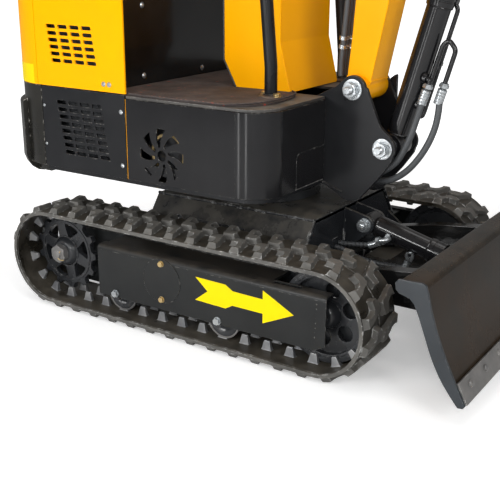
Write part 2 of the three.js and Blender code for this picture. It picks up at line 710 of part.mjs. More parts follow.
// ---------------------------------------------------------------- arm, its group's -Z runs to the bucket
function armOutline(inset) {
  return [
    [-44 + inset, -40], [-40 + inset, -160], [-27 + inset, -armSize.length + 60 + inset],
    [27 - inset, -armSize.length + 60 + inset], [40 - inset, -160], [44 - inset, -40],
    [34 - inset, 70 - inset], [-34 + inset, 70 - inset],
  ];
}

function buildArm() {
  const w = armSize.halfWidth;
  const end = -armSize.length;
  const box = slabXZ(armOutline(0), -w, w);
  const hollow = slabXZ(armOutline(armSize.wall), -w + armSize.wall, w - armSize.wall);
  const between = boom.halfWidth - boom.cheek - 2 * clearance;
  const pivotTube = cylinderY(0, 0, 30, -between, between, 18);
  const tip = slabXZ([
    [-28, end + 70], [-30, end + 20], ...arc(0, end, 31, 170, 370, 6), [30, end + 20], [28, end + 70],
  ], -w, w);
  const lever = [-30, 18].map((y) => slabXZ([
    [-44, 0], [-30, 110], ...arc(0, armSize.lever, 26, 200, -20, 5), [30, 110], [44, 0],
  ], y, y + 12));
  const cylinderLugs = [-w, w - 10].map((y) => slabXZ([
    [36, -10], [70, -40], ...arc(86, -74, 24, 60, -80, 5), [70, -110], [36, -170],
  ], y, y + 10));
  const cylinderPin = cylinderY(86, -74, 12, -w - 6, w + 6);
  const rockerTube = cylinderY(0, end + linkage.spacing, 22, -w - 3, w + 3);
  const pipeHole = cylinderY(0, -300, 14, -w - 5, 0, 14);
  const shell = cut(box, hollow, pipeHole);
  return cut(
    join(shell, pivotTube, tip, rockerTube, ...lever, ...cylinderLugs, cylinderPin),
    cylinderY(0, 0, 15 + pinClearance, -90, 90),
    cylinderY(0, end, 14 + pinClearance, -90, 90),
    cylinderY(0, end + linkage.spacing, 12 + pinClearance, -90, 90),
  );
}

// Two bars beside the arm, on one shaft through it, drawn with their far end on +X. The far
// pin is in two stubs, so that the rod's eye stays free between them.
function buildRocker() {
  const reach = linkage.lever;
  const bars = [-55, 45].map((y) => slabXZ([
    ...arc(0, 0, 22, 90, 270, 4), ...arc(reach, 0, 20, -90, 90, 4),
  ], y, y + 10));
  const stubs = [-54, 28].map((y) => cylinderY(reach, 0, 12, y, y + 26));
  return join(...bars, ...stubs, cylinderY(0, 0, 12, -60, 60));
}

// The bar from the rocker down to the bucket, drawn along -Z from the rocker's far pin.
function buildLink() {
  const reach = linkage.spacing;
  const side = [-44, 32].map((y) => slabXZ([
    ...arc(0, 0, 21, 0, 180, 4), ...arc(0, -reach, 20, 180, 360, 4),
  ], y, y + 12, [circle(0, 0, 12 + pinClearance), circle(0, -reach, 12 + pinClearance)]));
  const web = block(-10, 10, -33, 33, -reach + 44, -48);
  return join(...side, web);
}

// ---------------------------------------------------------------- bucket, drawn hanging from its pin
function bucketProfile() {
  return [
    [-62, -38], [-22, -44], [60, -52], [112, -74], [132, -120], [128, -190], [100, -256], [48, -308],
    [-20, -340], [-100, -352], [-190, -350],
  ];
}

function buildBucket() {
  const b = bucketSize;
  const outer = bucketProfile();
  const inner = [
    [-52, -47], [-20, -53], [56, -61], [104, -80], [122, -122], [119, -188], [93, -250], [44, -300],
    [-22, -331], [-100, -343], [-190, -341],
  ].reverse();
  const skin = slabXZ([...outer, ...inner], -b.halfWidth, b.halfWidth);
  const sidePlates = [-b.halfWidth, b.halfWidth - b.plate].map((y) => slabXZ(outer, y, y + b.plate));
  const lip = block(-214, -176, -b.halfWidth, b.halfWidth, -354, -340);
  const teeth = [-165, -55, 55, 165].map((y) => slabXZ([
    [-180, -358], [-262, -350], [-266, -346], [-214, -336], [-180, -336],
  ], y - 20, y + 20));
  const ears = [-76, 66].map((y) => slabXZ([
    [-64, -44], ...arc(0, 0, 32, 190, 90, 5), [40, 27], ...arc(linkage.lever, 0, 24, 80, -60, 6),
    [124, -90], [60, -56],
  ], y, y + 10, [circle(0, 0, 14 + pinClearance)]));
  const earPin = cylinderY(linkage.lever, 0, 12, -75, 75);
  return join(skin, ...sidePlates, lip, ...teeth, ...ears, earPin);
}

// ================================================================ assembly
// Undercarriage
for (const [name, side] of sides) {
  place(machine, `rubber_track_${name}`, onSide(buildTrack(), side), rubber);
  place(machine, `track_frame_${name}`, onSide(buildTrackFrame(), side), blackPaint);
  place(machine, `drive_sprocket_${name}`, onSide(buildSprocket(), side), castIron);
  place(machine, `idler_wheel_${name}`, onSide(buildIdler(), side), castIron);
  place(machine, `travel_motor_${name}`, onSide(buildTravelMotor(), side), castIron);
}
place(machine, 'chassis_frame', buildChassis(), blackPaint);
place(machine, 'slew_ring_lower', ringZ(190, 115, chassis.top + clearance, 376), castIron);
place(machine, 'slew_ring_upper', ringZ(176, 115, 376.6, house.bottom - clearance), castIron);

// Blade
const bladeCylinder = {
  tube: 30, rod: 13, length: 238, rodLength: 200, eye: 27, rodEye: 22, eyeHalf: 28, pin: 12,
  ports: [[26, 46, -30, -8, 140, 162], [6, 30, -54, -20, 70, 94]],
};
place(machine, 'dozer_blade', buildBlade(), blackPaint);
placeCylinder(machine, 'blade_cylinder', { x: 385, z: 298 }, { x: 690, z: 217 }, bladeCylinder);

// House
place(machine, 'turntable_frame', buildTurntable(), blackPaint);
place(machine, 'floor_plate', buildFloor(), blackPaint);
for (const [name, side] of sides) {
  place(machine, `front_skirt_${name}`, onSide(buildSkirt(), side), blackPaint);
  place(machine, `engine_side_panel_${name}`, onSide(buildSidePanel(), side), blackPaint);
}
place(machine, 'counterweight', buildCounterweight(), blackPaint);
place(machine, 'engine_hood', buildHood(), yellowPaint);
place(machine, 'rear_door', buildRearDoor(), yellowPaint);
place(machine, 'engine_block', block(-560, -340, -160, 160, 452.3, 740), castIron);
place(machine, 'floor_mat', buildMat(), matRubber);
place(machine, 'seat_box', buildSeatBox(), blackPaint);
place(machine, 'seat_cushion', buildSeatCushion(), vinyl);
place(machine, 'seat_backrest', buildSeatBack(), vinyl);
place(machine, 'console_cowl', buildConsole(), yellowPaint);
place(machine, 'control_levers', buildLevers(), blackPaint);
for (const [name, side] of sides) {
  place(machine, `canopy_post_front_${name}`, buildFrontPost(side), blackPaint);
  place(machine, `canopy_post_rear_${name}`, buildRearPost(side), blackPaint);
}
place(machine, 'canopy_roof', buildRoof(), yellowPaint);
for (const [name, { x, z }] of [['boom_foot_pin', boomPivot], ['boom_cylinder_pin', cylinderPivot]]) {
  place(machine, name, buildPin(x, z, pinRadius, plates.outer + clearance, 12), zinc);
}

// Hoses
for (const [name, route] of Object.entries(hoseRoutes)) {
  const radius = name.startsWith('blade') ? hoseRadius.blade : hoseRadius.boom;
  place(machine, name, hose(route, radius), rubber);
}

// Boom
const boomGroup = pivot(machine, 'boom pivot', boomPivot.x, boomPivot.z);
place(boomGroup, 'boom', buildBoom(), yellowPaint);
placeCylinder(machine, 'boom_cylinder', cylinderPivot,
  { x: boomPivot.x + boomRodPin[0], z: boomPivot.z + boomRodPin[1] },
  {
    tube: 32.5, rod: 17, length: 436, rodLength: 440, eye: 35, rodEye: 28, eyeHalf: 38, pin: pinRadius,
    ports: [[29, 54, -31, -9, 186, 210], [29, 95, -21, 1, 200, 224]],
  });

// Arm
const armGroup = pivot(boomGroup, 'arm pivot', armPin[0], armPin[1], -armSize.outward);
place(armGroup, 'arm', buildArm(), yellowPaint);
place(armGroup, 'arm_pin', buildPin(0, 0, 15, boom.halfWidth + clearance, 9), zinc);
const leverTurn = radians(-armSize.outward);
placeCylinder(boomGroup, 'arm_cylinder', { x: armCylinderPin[0], z: armCylinderPin[1] }, {
  x: armPin[0] + armSize.lever * Math.sin(leverTurn), z: armPin[1] + armSize.lever * Math.cos(leverTurn),
}, {
  tube: 29, rod: 15, length: 560, rodLength: 380, eye: 28, rodEye: 24, eyeHalf: 17, pin: 15,
  ports: [[25, 44, -11, 11, 52, 74]],
});

// Bucket and its linkage
const bucketTurn = radians(bucketSize.restCurl);
const rockerPivot = { x: 0, z: -armSize.length + linkage.spacing };
const rockerTip = {
  x: rockerPivot.x + linkage.lever * Math.cos(bucketTurn),
  z: rockerPivot.z - linkage.lever * Math.sin(bucketTurn),
};
const bucketGroup = pivot(armGroup, 'bucket pivot', 0, -armSize.length, bucketSize.restCurl);
place(bucketGroup, 'bucket', buildBucket(), blackPaint);
place(armGroup, 'bucket_pin', buildPin(0, -armSize.length, 14, 76 + clearance, 8), zinc);
const rockerGroup = pivot(armGroup, 'rocker pivot', rockerPivot.x, rockerPivot.z, bucketSize.restCurl);
place(rockerGroup, 'bucket_rocker', buildRocker(), castIron);
place(pivot(armGroup, 'link pivot', rockerTip.x, rockerTip.z), 'bucket_link', buildLink(), castIron);
placeCylinder(armGroup, 'bucket_cylinder', { x: 86, z: -74 }, rockerTip,
  {
    tube: 25, rod: 12, length: 330, rodLength: 300, eye: 22, rodEye: 21, eyeHalf: 26, pin: 12,
    ports: [[21, 40, -11, 11, 44, 66]],
  });

// The origin is the middle of the footprint, on the ground.
machine.updateMatrixWorld(true);
const extent = new THREE.Box3().setFromObject(machine, true);
machine.position.x = -(extent.min.x + extent.max.x) / 2;

export default machine;
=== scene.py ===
import json
import math
import random
import bpy
import bmesh
import numpy as np
from mathutils import Matrix, Vector
from mathutils.geometry import tessellate_polygon

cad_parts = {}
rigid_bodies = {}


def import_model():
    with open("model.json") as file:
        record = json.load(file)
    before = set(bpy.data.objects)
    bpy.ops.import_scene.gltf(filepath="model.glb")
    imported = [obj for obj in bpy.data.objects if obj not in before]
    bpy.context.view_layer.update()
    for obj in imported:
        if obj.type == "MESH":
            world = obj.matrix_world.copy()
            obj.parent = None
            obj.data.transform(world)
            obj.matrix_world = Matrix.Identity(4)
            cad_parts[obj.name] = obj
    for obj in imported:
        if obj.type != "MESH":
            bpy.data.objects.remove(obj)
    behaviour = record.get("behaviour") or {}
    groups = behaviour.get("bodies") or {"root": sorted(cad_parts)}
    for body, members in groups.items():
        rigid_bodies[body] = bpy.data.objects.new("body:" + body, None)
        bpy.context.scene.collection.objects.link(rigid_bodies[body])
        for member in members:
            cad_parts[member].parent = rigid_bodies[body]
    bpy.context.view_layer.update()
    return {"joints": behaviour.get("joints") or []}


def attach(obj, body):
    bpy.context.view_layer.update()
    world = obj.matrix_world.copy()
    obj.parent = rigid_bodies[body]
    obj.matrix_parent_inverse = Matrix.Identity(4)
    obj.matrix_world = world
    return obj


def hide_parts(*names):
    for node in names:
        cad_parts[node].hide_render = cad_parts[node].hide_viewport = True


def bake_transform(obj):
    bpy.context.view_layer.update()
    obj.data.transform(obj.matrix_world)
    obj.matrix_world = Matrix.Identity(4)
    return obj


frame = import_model()

# Lengths are millimetres, with x from the slewing axis; newPiece turns them into metres.
jointOf = {joint["name"]: joint for joint in frame["joints"]}
slewX = jointOf["house_slew"]["pos_m"][0]
machineSpace = Matrix.Translation((slewX, 0, 0)) @ Matrix.Diagonal((0.001, 0.001, 0.001, 1))

cameraSetup = {"spot": (1468.1, -2290.3, 1052.9), "turn": 33.22, "tilt": 18.57, "roll": 0.31, "lens": 65.25,
               "sensor": 36}
cameraData = bpy.data.cameras.new("camera")
cameraData.lens = cameraSetup["lens"]
cameraData.sensor_width = cameraSetup["sensor"]
camera = bpy.data.objects.new("camera", cameraData)
camera.matrix_world = (
    Matrix.Translation(machineSpace @ Vector(cameraSetup["spot"]))
    @ Matrix.Rotation(math.radians(cameraSetup["turn"]), 4, "Z")
    @ Matrix.Rotation(math.radians(90 - cameraSetup["tilt"]), 4, "X")
    @ Matrix.Rotation(math.radians(cameraSetup["roll"]), 4, "Z")
)
bpy.context.scene.collection.objects.link(camera)
bpy.context.scene.camera = camera


# Outlines are lists of (a, b).
def polar(x, z, radius, angle):
    return (x + radius * math.cos(math.radians(angle)), z + radius * math.sin(math.radians(angle)))


def arc(x, z, radius, start, stop, steps=8):
    return [polar(x, z, radius, start + (stop - start) * i / steps) for i in range(steps + 1)]


def circle(x, z, radius, steps=36):
    return [polar(x, z, radius, 360 * i / steps) for i in range(steps)]


def rectangle(a0, a1, b0, b1):
    return [(a0, b0), (a1, b0), (a1, b1), (a0, b1)]


def filleted(points, radius, steps=4, closed=True):  # every corner rounded, less where a side is short
    corners = [Vector(p) for p in points]
    result = []
    for i, corner in enumerate(corners):
        if not closed and i in (0, len(corners) - 1):
            result.append(tuple(corner))
            continue
        before = corners[i - 1] - corner
        after = corners[(i + 1) % len(corners)] - corner
        opening = before.angle(after)
        if opening > math.radians(172):
            result.append(tuple(corner))
            continue
        cut = min(radius / math.tan(opening / 2), 0.48 * before.length, 0.48 * after.length)
        start = corner + before.normalized() * cut
        stop = corner + after.normalized() * cut
        for k in range(steps + 1):
            t = k / steps
            result.append(tuple(start * (1 - t) ** 2 + corner * 2 * t * (1 - t) + stop * t ** 2))
    return result


def area(loop):
    return sum(a[0] * b[1] - b[0] * a[1] for a, b in zip(loop, loop[1:] + loop[:1])) / 2


def inset(loop, distance):  # moves an anticlockwise loop inwards
    result = []
    for i, (a, b) in enumerate(loop):
        pa, pb = loop[i - 1]
        na, nb = loop[(i + 1) % len(loop)]
        into = Vector((a - pa, b - pb)).normalized()
        out = Vector((na - a, nb - b)).normalized()
        normal = Vector((-into.y - out.y, into.x + out.x))
        reach = max(0.35, 1 + into.dot(out))
        result.append((a + normal.x * distance / reach, b + normal.y * distance / reach))
    return result


# Solids are (points, faces).
planes = {
    "xz": lambda a, b, h: (a, h, b),
    "xy": lambda a, b, h: (a, b, h),
    "yz": lambda a, b, h: (h, a, b),
}


def ringFaces(size, count, closed=False, start=0):  # the faces between rings of points
    faces = []
    for k in range(count if closed else count - 1):
        first, second = start + k * size, start + (k + 1) % count * size
        for i in range(size):
            j = (i + 1) % size
            faces.append((first + i, first + j, second + j, second + i))
    return faces


def slab(outline, low, high, holes=(), edge=0.8, plane="xz", rings=2):  # a plate with softened edges
    loops = [outline if area(outline) > 0 else outline[::-1]]
    loops += [hole if area(hole) < 0 else hole[::-1] for hole in holes]
    soft = min(edge, 0.45 * (high - low))
    levels = []
    for k in range(rings + 1):
        turn = math.pi / 2 * k / rings
        levels.append((soft * (1 - math.sin(turn)), low + soft * (1 - math.cos(turn))))
    levels += [(inward, low + high - level) for inward, level in levels[::-1]]
    points, faces, caps = [], [], [[], []]
    for loop in loops:
        start = len(points)
        size = len(loop)
        for inward, level in levels:
            points += [planes[plane](a, b, level) for a, b in inset(loop, inward)]
        faces += ringFaces(size, len(levels), start=start)
        caps[0].append(range(start, start + size))
        caps[1].append(range(start + (len(levels) - 1) * size, start + len(levels) * size))
    flat = [[Vector((a, b, 0)) for a, b in inset(loop, soft)] for loop in loops]
    triangles = tessellate_polygon(flat)
    for cap in caps:
        index = [i for loop in cap for i in loop]
        faces += [tuple(index[i] for i in triangle) for triangle in triangles]
    return points, faces


def brick(x0, x1, y0, y1, z0, z1, edge=1.0, corner=2.0):
    return slab(filleted(rectangle(x0, x1, y0, y1), corner, 2), z0, z1, edge=edge, plane="xy")


def turned(profile, steps=40):  # (radius, height) pairs spun about z; closed on the axis or on itself
    onAxis = profile[0][0] == 0 and profile[-1][0] == 0
    points, faces, rings = [], [], []
    for radius, height in profile:
        if radius == 0:
            rings.append([len(points)] * steps)
            points.append((0, 0, height))
        else:
            rings.append(list(range(len(points), len(points) + steps)))
            points += [polar(0, 0, radius, 360 * i / steps) + (height,) for i in range(steps)]
    pairs = list(zip(rings, rings[1:])) if onAxis else list(zip(rings, rings[1:] + rings[:1]))
    for lower, upper in pairs:
        for i in range(steps):
            j = (i + 1) % steps
            corners = []
            for index in (lower[i], lower[j], upper[j], upper[i]):
                if index not in corners:
                    corners.append(index)
            if len(corners) > 2:
                faces.append(tuple(corners))
    return points, faces


def rod(radius, low, high, edge=1.0, steps=36):
    return turned([(0, low), *filleted([(0, low), (radius, low), (radius, high), (0, high)], edge, 2,
                                       False)[1:-1],
                   (0, high)], steps)


def ring(outer, inner, low, high, edge=1.0, steps=40):
    profile = filleted([(inner, low), (outer, low), (outer, high), (inner, high)], edge, 2)
    return turned(profile, steps)


def flow(points, spacing):  # a smooth line through points, with a point about every spacing
    knots = [Vector(p) for p in points]
    knots = [2 * knots[0] - knots[1], *knots, 2 * knots[-1] - knots[-2]]
    result = []
    for i in range(1, len(knots) - 2):
        p0, p1, p2, p3 = knots[i - 1:i + 3]
        gaps = [max((b - a).length, 1e-4) ** 0.5 for a, b in ((p0, p1), (p1, p2), (p2, p3))]
        leave = ((p1 - p0) / gaps[0] - (p2 - p0) / (gaps[0] + gaps[1]) + (p2 - p1) / gaps[1]) * gaps[1]
        enter = ((p2 - p1) / gaps[1] - (p3 - p1) / (gaps[1] + gaps[2]) + (p3 - p2) / gaps[2]) * gaps[1]
        steps = max(1, round((p2 - p1).length / spacing))
        for k in range(steps):
            t = k / steps
            result.append(
                p1 * (2 * t ** 3 - 3 * t ** 2 + 1) + leave * (t ** 3 - 2 * t ** 2 + t)
                + p2 * (3 * t ** 2 - 2 * t ** 3) + enter * (t ** 3 - t ** 2)
            )
    result.append(knots[-2])
    return result


def bent(points, bend, steps=6):  # straight runs with rounded bends
    return [Vector(p) for p in filleted([Vector(p) for p in points], bend, steps, False)]


def pipe(path, radius, sides=16):  # radius is a number, or a function of the way along from 0 to 1
    path = [Vector(p) for p in path]
    points = []
    side = None
    for i, spot in enumerate(path):
        ahead = (path[min(i + 1, len(path) - 1)] - path[max(i - 1, 0)]).normalized()
        if side is None:
            side = ahead.orthogonal().normalized()
        side = (side - ahead * side.dot(ahead)).normalized()
        up = ahead.cross(side)
        size = radius(i / (len(path) - 1)) if callable(radius) else radius
        for k in range(sides):
            turn = 2 * math.pi * k / sides
            points.append(tuple(spot + (side * math.cos(turn) + up * math.sin(turn)) * size))
    ends = [tuple(range(sides)), tuple(range((len(path) - 1) * sides, len(path) * sides))]
    return points, ringFaces(sides, len(path)) + ends


def atDepth(point, y):  # a point of an (x, z) outline at y
    return point[0], y, point[1]


def moved(shape, matrix):
    return [tuple(matrix @ Vector(p)) for p in shape[0]], shape[1]


def aimed(shape, spot, direction=(0, -1, 0), spin=0):  # turns a shape's z axis along a direction
    turn = Vector((0, 0, 1)).rotation_difference(Vector(direction)).to_matrix().to_4x4()
    return moved(shape, Matrix.Translation(spot) @ turn @ Matrix.Rotation(math.radians(spin), 4, "Z"))


def mirrored(shape, middle=0):  # left for right about y = middle
    return [(x, 2 * middle - y, z) for x, y, z in shape[0]], shape[1]


def joined(*shapes):
    points, faces = [], []
    for shape in shapes:
        start = len(points)
        points += shape[0]
        faces += [tuple(i + start for i in face) for face in shape[1]]
    return points, faces


def hexagon(flats, low, high, bore=0):  # a nut or a bolt head, its corners cut back by a cone
    steps = 36
    rings = []
    for top, level, cone in ((0, low, 1), (0, low, 0), (1, high, 0), (1, high, 1)):
        loop = []
        for i in range(steps):
            angle = 360 * i / steps
            reach = flats / 2 / math.cos(math.radians((angle + 30) % 60 - 30))
            fall = (reach - flats / 2) * 0.55
            radius = flats / 2 * 0.96 if cone else reach
            height = level if cone else (level - fall if top else level + fall)
            loop.append(polar(0, 0, radius, angle) + (height,))
        rings.append(loop)
    if bore:
        for level in (high, low):
            rings.append([polar(0, 0, bore, 360 * i / steps) + (level,) for i in range(steps)])
    points = [p for loop in rings for p in loop]
    faces = []
    pairs = list(range(len(rings) - 1)) + ([-1] if bore else [])
    for r in pairs:
        first = (r % len(rings)) * steps
        second = ((r + 1) % len(rings)) * steps
        for i in range(steps):
            j = (i + 1) % steps
            faces.append((first + i, first + j, second + j, second + i))
    if not bore:
        faces += [tuple(range(steps)), tuple(range(3 * steps, 4 * steps))]
    return points, faces


def bolt(size, washer=True, stud=0):  # a hexagon head on a washer, along +z from the surface
    base = 0.22 * size if washer else 0
    parts = [hexagon(1.75 * size, base, base + 0.75 * size)]
    if washer:
        parts.append(rod(1.15 * size, -0.2, base, 0.3, 28))
    if stud:
        parts.append(threaded(size / 2, base + 0.7 * size, base + 0.7 * size + stud))
    return joined(*parts)


def domedScrew(*profile, steps=20):  # a low round head; the profile runs from its top to its rim
    return turned([*profile, (profile[-1][0], 0), (0, 0)], steps)


def threaded(radius, low, high, pitch=1.6):
    profile = [(0, low), (radius, low)]
    count = int((high - low - 1) / pitch)
    for i in range(count):
        level = low + i * pitch
        profile += [(radius, level + 0.3 * pitch), (radius * 0.9, level + 0.8 * pitch)]
    profile += [(radius, low + count * pitch), (radius * 0.8, high), (0, high)]
    return turned(profile, 24)


def newPiece(name, body, parts, space=machineSpace, replaced=(), sharp=35):
    # parts is a list of (shape, material)
    looks = []
    points, faces, slots = [], [], []
    for shape, look in parts:
        if look not in looks:
            looks.append(look)
        start = len(points)
        points += shape[0]
        faces += [tuple(i + start for i in face) for face in shape[1]]
        slots += [looks.index(look)] * len(shape[1])
    mesh = bpy.data.meshes.new(name)
    mesh.from_pydata([tuple(space @ Vector(p)) for p in points], [], faces)
    for look in looks:
        mesh.materials.append(look)
    mesh.polygons.foreach_set("material_index", slots)
    work = bmesh.new()
    work.from_mesh(mesh)
    bmesh.ops.dissolve_degenerate(work, edges=work.edges, dist=2e-6)
    bmesh.ops.recalc_face_normals(work, faces=work.faces)
    work.to_mesh(mesh)
    work.free()
    mesh.shade_smooth()
    mesh.set_sharp_from_angle(angle=math.radians(sharp))
    piece = bpy.data.objects.new(name, mesh)
    bpy.context.scene.collection.objects.link(piece)
    weighted = piece.modifiers.new("normals", "WEIGHTED_NORMAL")
    weighted.keep_sharp = True
    if body:
        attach(piece, body)
    if replaced:
        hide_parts(*replaced)
    return piece


def newGroup(name, inputs, outputs):
    group = bpy.data.node_groups.new(name, "ShaderNodeTree")
    for label, kind, value in inputs:
        socket = group.interface.new_socket(label, in_out="INPUT", socket_type=kind)
        socket.default_value = value
    for label, kind in outputs:
        group.interface.new_socket(label, in_out="OUTPUT", socket_type=kind)
    return group, group.nodes.new("NodeGroupInput"), group.nodes.new("NodeGroupOutput")


def addNode(tree, kind, links=(), **settings):  # links is a list of (input, output socket or value)
    node = tree.nodes.new("ShaderNode" + kind)
    for key, value in settings.items():
        setattr(node, key, value)
    for socket, source in links:
        if isinstance(source, bpy.types.NodeSocket):
            tree.links.new(source, node.inputs[socket])
        else:
            node.inputs[socket].default_value = source
    return node


def maths(tree, operation, first, second):
    return addNode(tree, "Math", [(0, first), (1, second)], operation=operation).outputs[0]


def ranged(tree, value, start, stop, low=0.0, high=1.0):  # maps start to stop onto low to high
    links = [("Value", value), ("From Min", start), ("From Max", stop), ("To Min", low), ("To Max", high)]
    return addNode(tree, "MapRange", links).outputs["Result"]


floatSocket = "NodeSocketFloat"


def buildCloudGroup():  # soft patches, for dust and handling marks
    group, start, stop = newGroup(
        "patches", [("Scale", floatSocket, 6.0), ("Low", floatSocket, 0.4), ("High", floatSocket, 0.7)],
        [("Mask", floatSocket)],
    )
    place = addNode(group, "TexCoord").outputs["Object"]
    noise = addNode(group, "TexNoise", [("Vector", place), ("Scale", start.outputs["Scale"]), ("Detail", 5.0),
                                        ("Roughness", 0.62)])
    spread = ranged(group, noise.outputs["Fac"], start.outputs["Low"], start.outputs["High"])
    group.links.new(spread, stop.inputs["Mask"])
    return group


def buildDustGroup():  # dust that settles on what faces up
    group, start, stop = newGroup(
        "settled dust", [("Scale", floatSocket, 14.0), ("Amount", floatSocket, 0.6)], [("Mask", floatSocket)],
    )
    place = addNode(group, "TexCoord").outputs["Object"]
    up = addNode(group, "SeparateXYZ", [("Vector", addNode(group, "NewGeometry").outputs["Normal"])])
    facing = ranged(group, up.outputs["Z"], 0.25, 0.95)
    noise = addNode(group, "TexNoise", [("Vector", place), ("Scale", start.outputs["Scale"]), ("Detail", 6.0),
                                        ("Roughness", 0.7)])
    spread = ranged(group, noise.outputs["Fac"], 0.3, 0.62)
    mask = maths(group, "MULTIPLY", maths(group, "MULTIPLY", facing, spread), start.outputs["Amount"])
    group.links.new(mask, stop.inputs["Mask"])
    return group


def buildWearGroup():  # edges rubbed through, broken up by noise
    group, start, stop = newGroup(
        "edge wear", [("Width", floatSocket, 0.002), ("Breakup", floatSocket, 90.0),
                      ("Amount", floatSocket, 1.0)],
        [("Mask", floatSocket)],
    )
    plain = addNode(group, "NewGeometry").outputs["Normal"]
    soft = addNode(group, "Bevel", [("Radius", start.outputs["Width"])], samples=4)
    dot = addNode(group, "VectorMath", [(0, plain), (1, soft.outputs["Normal"])], operation="DOT_PRODUCT")
    edge = ranged(group, dot.outputs["Value"], 0.985, 0.9)
    place = addNode(group, "TexCoord").outputs["Object"]
    noise = addNode(group, "TexNoise", [("Vector", place), ("Scale", start.outputs["Breakup"]),
                                        ("Detail", 4.0)])
    broken = ranged(group, noise.outputs["Fac"], 0.52, 0.64)
    mask = maths(group, "MULTIPLY", maths(group, "MULTIPLY", edge, broken), start.outputs["Amount"])
    group.links.new(mask, stop.inputs["Mask"])
    return group


def buildGrainGroup():  # fine grain for bump: orange peel, cast skin, rubber
    group, start, stop = newGroup(
        "grain", [("Scale", floatSocket, 300.0), ("Coarse", floatSocket, 0.5)], [("Height", floatSocket)],
    )
    place = addNode(group, "TexCoord").outputs["Object"]
    fine = addNode(group, "TexNoise", [("Vector", place), ("Scale", start.outputs["Scale"]), ("Detail", 3.0)])
    wide = maths(group, "MULTIPLY", start.outputs["Scale"], 0.17)
    broad = addNode(group, "TexNoise", [("Vector", place), ("Scale", wide), ("Detail", 2.0)])
    part = maths(group, "MULTIPLY", broad.outputs["Fac"], start.outputs["Coarse"])
    group.links.new(maths(group, "ADD", fine.outputs["Fac"], part), stop.inputs["Height"])
    return group


cloudGroup = buildCloudGroup()
dustGroup = buildDustGroup()
wearGroup = buildWearGroup()
grainGroup = buildGrainGroup()


def useGroup(tree, group, **values):
    node = tree.nodes.new("ShaderNodeGroup")
    node.node_tree = group
    for label, value in values.items():
        node.inputs[label].default_value = value
    return node.outputs[0]


def mixColour(tree, mask, first, second):
    node = addNode(tree, "Mix", data_type="RGBA")
    for socket, source in ((0, mask), (6, first), (7, second)):
        if isinstance(source, bpy.types.NodeSocket):
            tree.links.new(source, node.inputs[socket])
        else:
            node.inputs[socket].default_value = source
    return node.outputs[2]


def newMaterial(name, settings):
    # colour and second are two tones in patches; dust and wear are (colour, amount)
    material = bpy.data.materials.new(name)
    material.use_nodes = True
    tree = material.node_tree
    shader = tree.nodes["Principled BSDF"]
    colour = (*settings["colour"], 1)
    patches = useGroup(tree, cloudGroup, Scale=settings.get("patchScale", 7.0), Low=0.38, High=0.66)
    out = mixColour(tree, patches, colour, (*settings.get("second", settings["colour"]), 1))
    rough = settings["rough"]
    spread = settings.get("roughSpread", 0.08)
    roughOut = ranged(tree, patches, 0, 1, rough - spread, rough + spread)
    if "specks" in settings:
        speckColour, scale = settings["specks"]
        mask = useGroup(tree, cloudGroup, Scale=scale, Low=0.64, High=0.68)
        out = mixColour(tree, mask, out, (*speckColour, 1))
    if "dust" in settings:
        dustColour, amount = settings["dust"]
        mask = useGroup(tree, dustGroup, Scale=settings.get("dustScale", 14.0), Amount=amount)
        out = mixColour(tree, mask, out, (*dustColour, 1))
        settled = ranged(tree, mask, 0, 1, 0, 0.4)
        total = addNode(tree, "Math", [(0, roughOut), (1, settled)], operation="ADD", use_clamp=True)
        roughOut = total.outputs[0]
    if "wear" in settings:
        wearColour, amount = settings["wear"]
        mask = useGroup(tree, wearGroup, Width=settings.get("wearWidth", 0.0018),
                        Breakup=settings.get("breakup", 90.0), Amount=amount)
        out = mixColour(tree, mask, out, (*wearColour, 1))
    tree.links.new(out, shader.inputs["Base Color"])
    tree.links.new(roughOut, shader.inputs["Roughness"])
    shader.inputs["Metallic"].default_value = settings.get("metal", 0.0)
    shader.inputs["Coat Weight"].default_value = settings.get("coat", 0.0)
    shader.inputs["Coat Roughness"].default_value = settings.get("coatRough", 0.08)
    shader.inputs["Specular IOR Level"].default_value = settings.get("specular", 0.5)
    if settings.get("grain"):
        scale, strength = settings["grain"]
        height = useGroup(tree, grainGroup, Scale=scale, Coarse=settings.get("coarse", 0.5))
        bump = addNode(tree, "Bump", [("Height", height), ("Strength", strength),
                                      ("Distance", settings.get("grainDepth", 0.0004))])
        tree.links.new(bump.outputs["Normal"], shader.inputs["Normal"])
    return material


dusty = (0.16, 0.13, 0.10)
yellowPaint = newMaterial("yellow paint", {
    "colour": (1.0, 0.43, 0.0), "second": (0.97, 0.41, 0.0), "rough": 0.34, "roughSpread": 0.05, "coat": 0.03,
    "specular": 0.07, "grain": (260.0, 0.08), "dust": ((0.75, 0.42, 0.08), 0.12),
})
blackPaint = newMaterial("satin black paint", {
    "colour": (0.009, 0.0095, 0.011), "second": (0.013, 0.0135, 0.015), "rough": 0.33, "roughSpread": 0.06,
    "specular": 0.22, "grain": (420.0, 0.12), "dust": (dusty, 0.25), "wear": ((0.30, 0.29, 0.27), 0.7),
})
coverPaint = newMaterial("cover paint", {
    "colour": (0.013, 0.014, 0.0145), "second": (0.018, 0.019, 0.019), "rough": 0.36, "roughSpread": 0.06,
    "specular": 0.24, "grain": (420.0, 0.12), "dust": (dusty, 0.3), "wear": ((0.30, 0.29, 0.27), 0.8),
})
chassisPaint = newMaterial("chassis paint", {
    "colour": (0.013, 0.014, 0.016), "second": (0.022, 0.024, 0.027), "rough": 0.24, "roughSpread": 0.06,
    "specular": 0.35, "grain": (300.0, 0.12), "dust": ((0.24, 0.21, 0.16), 0.35),
    "wear": ((0.45, 0.45, 0.44), 1.0), "breakup": 60.0,
})
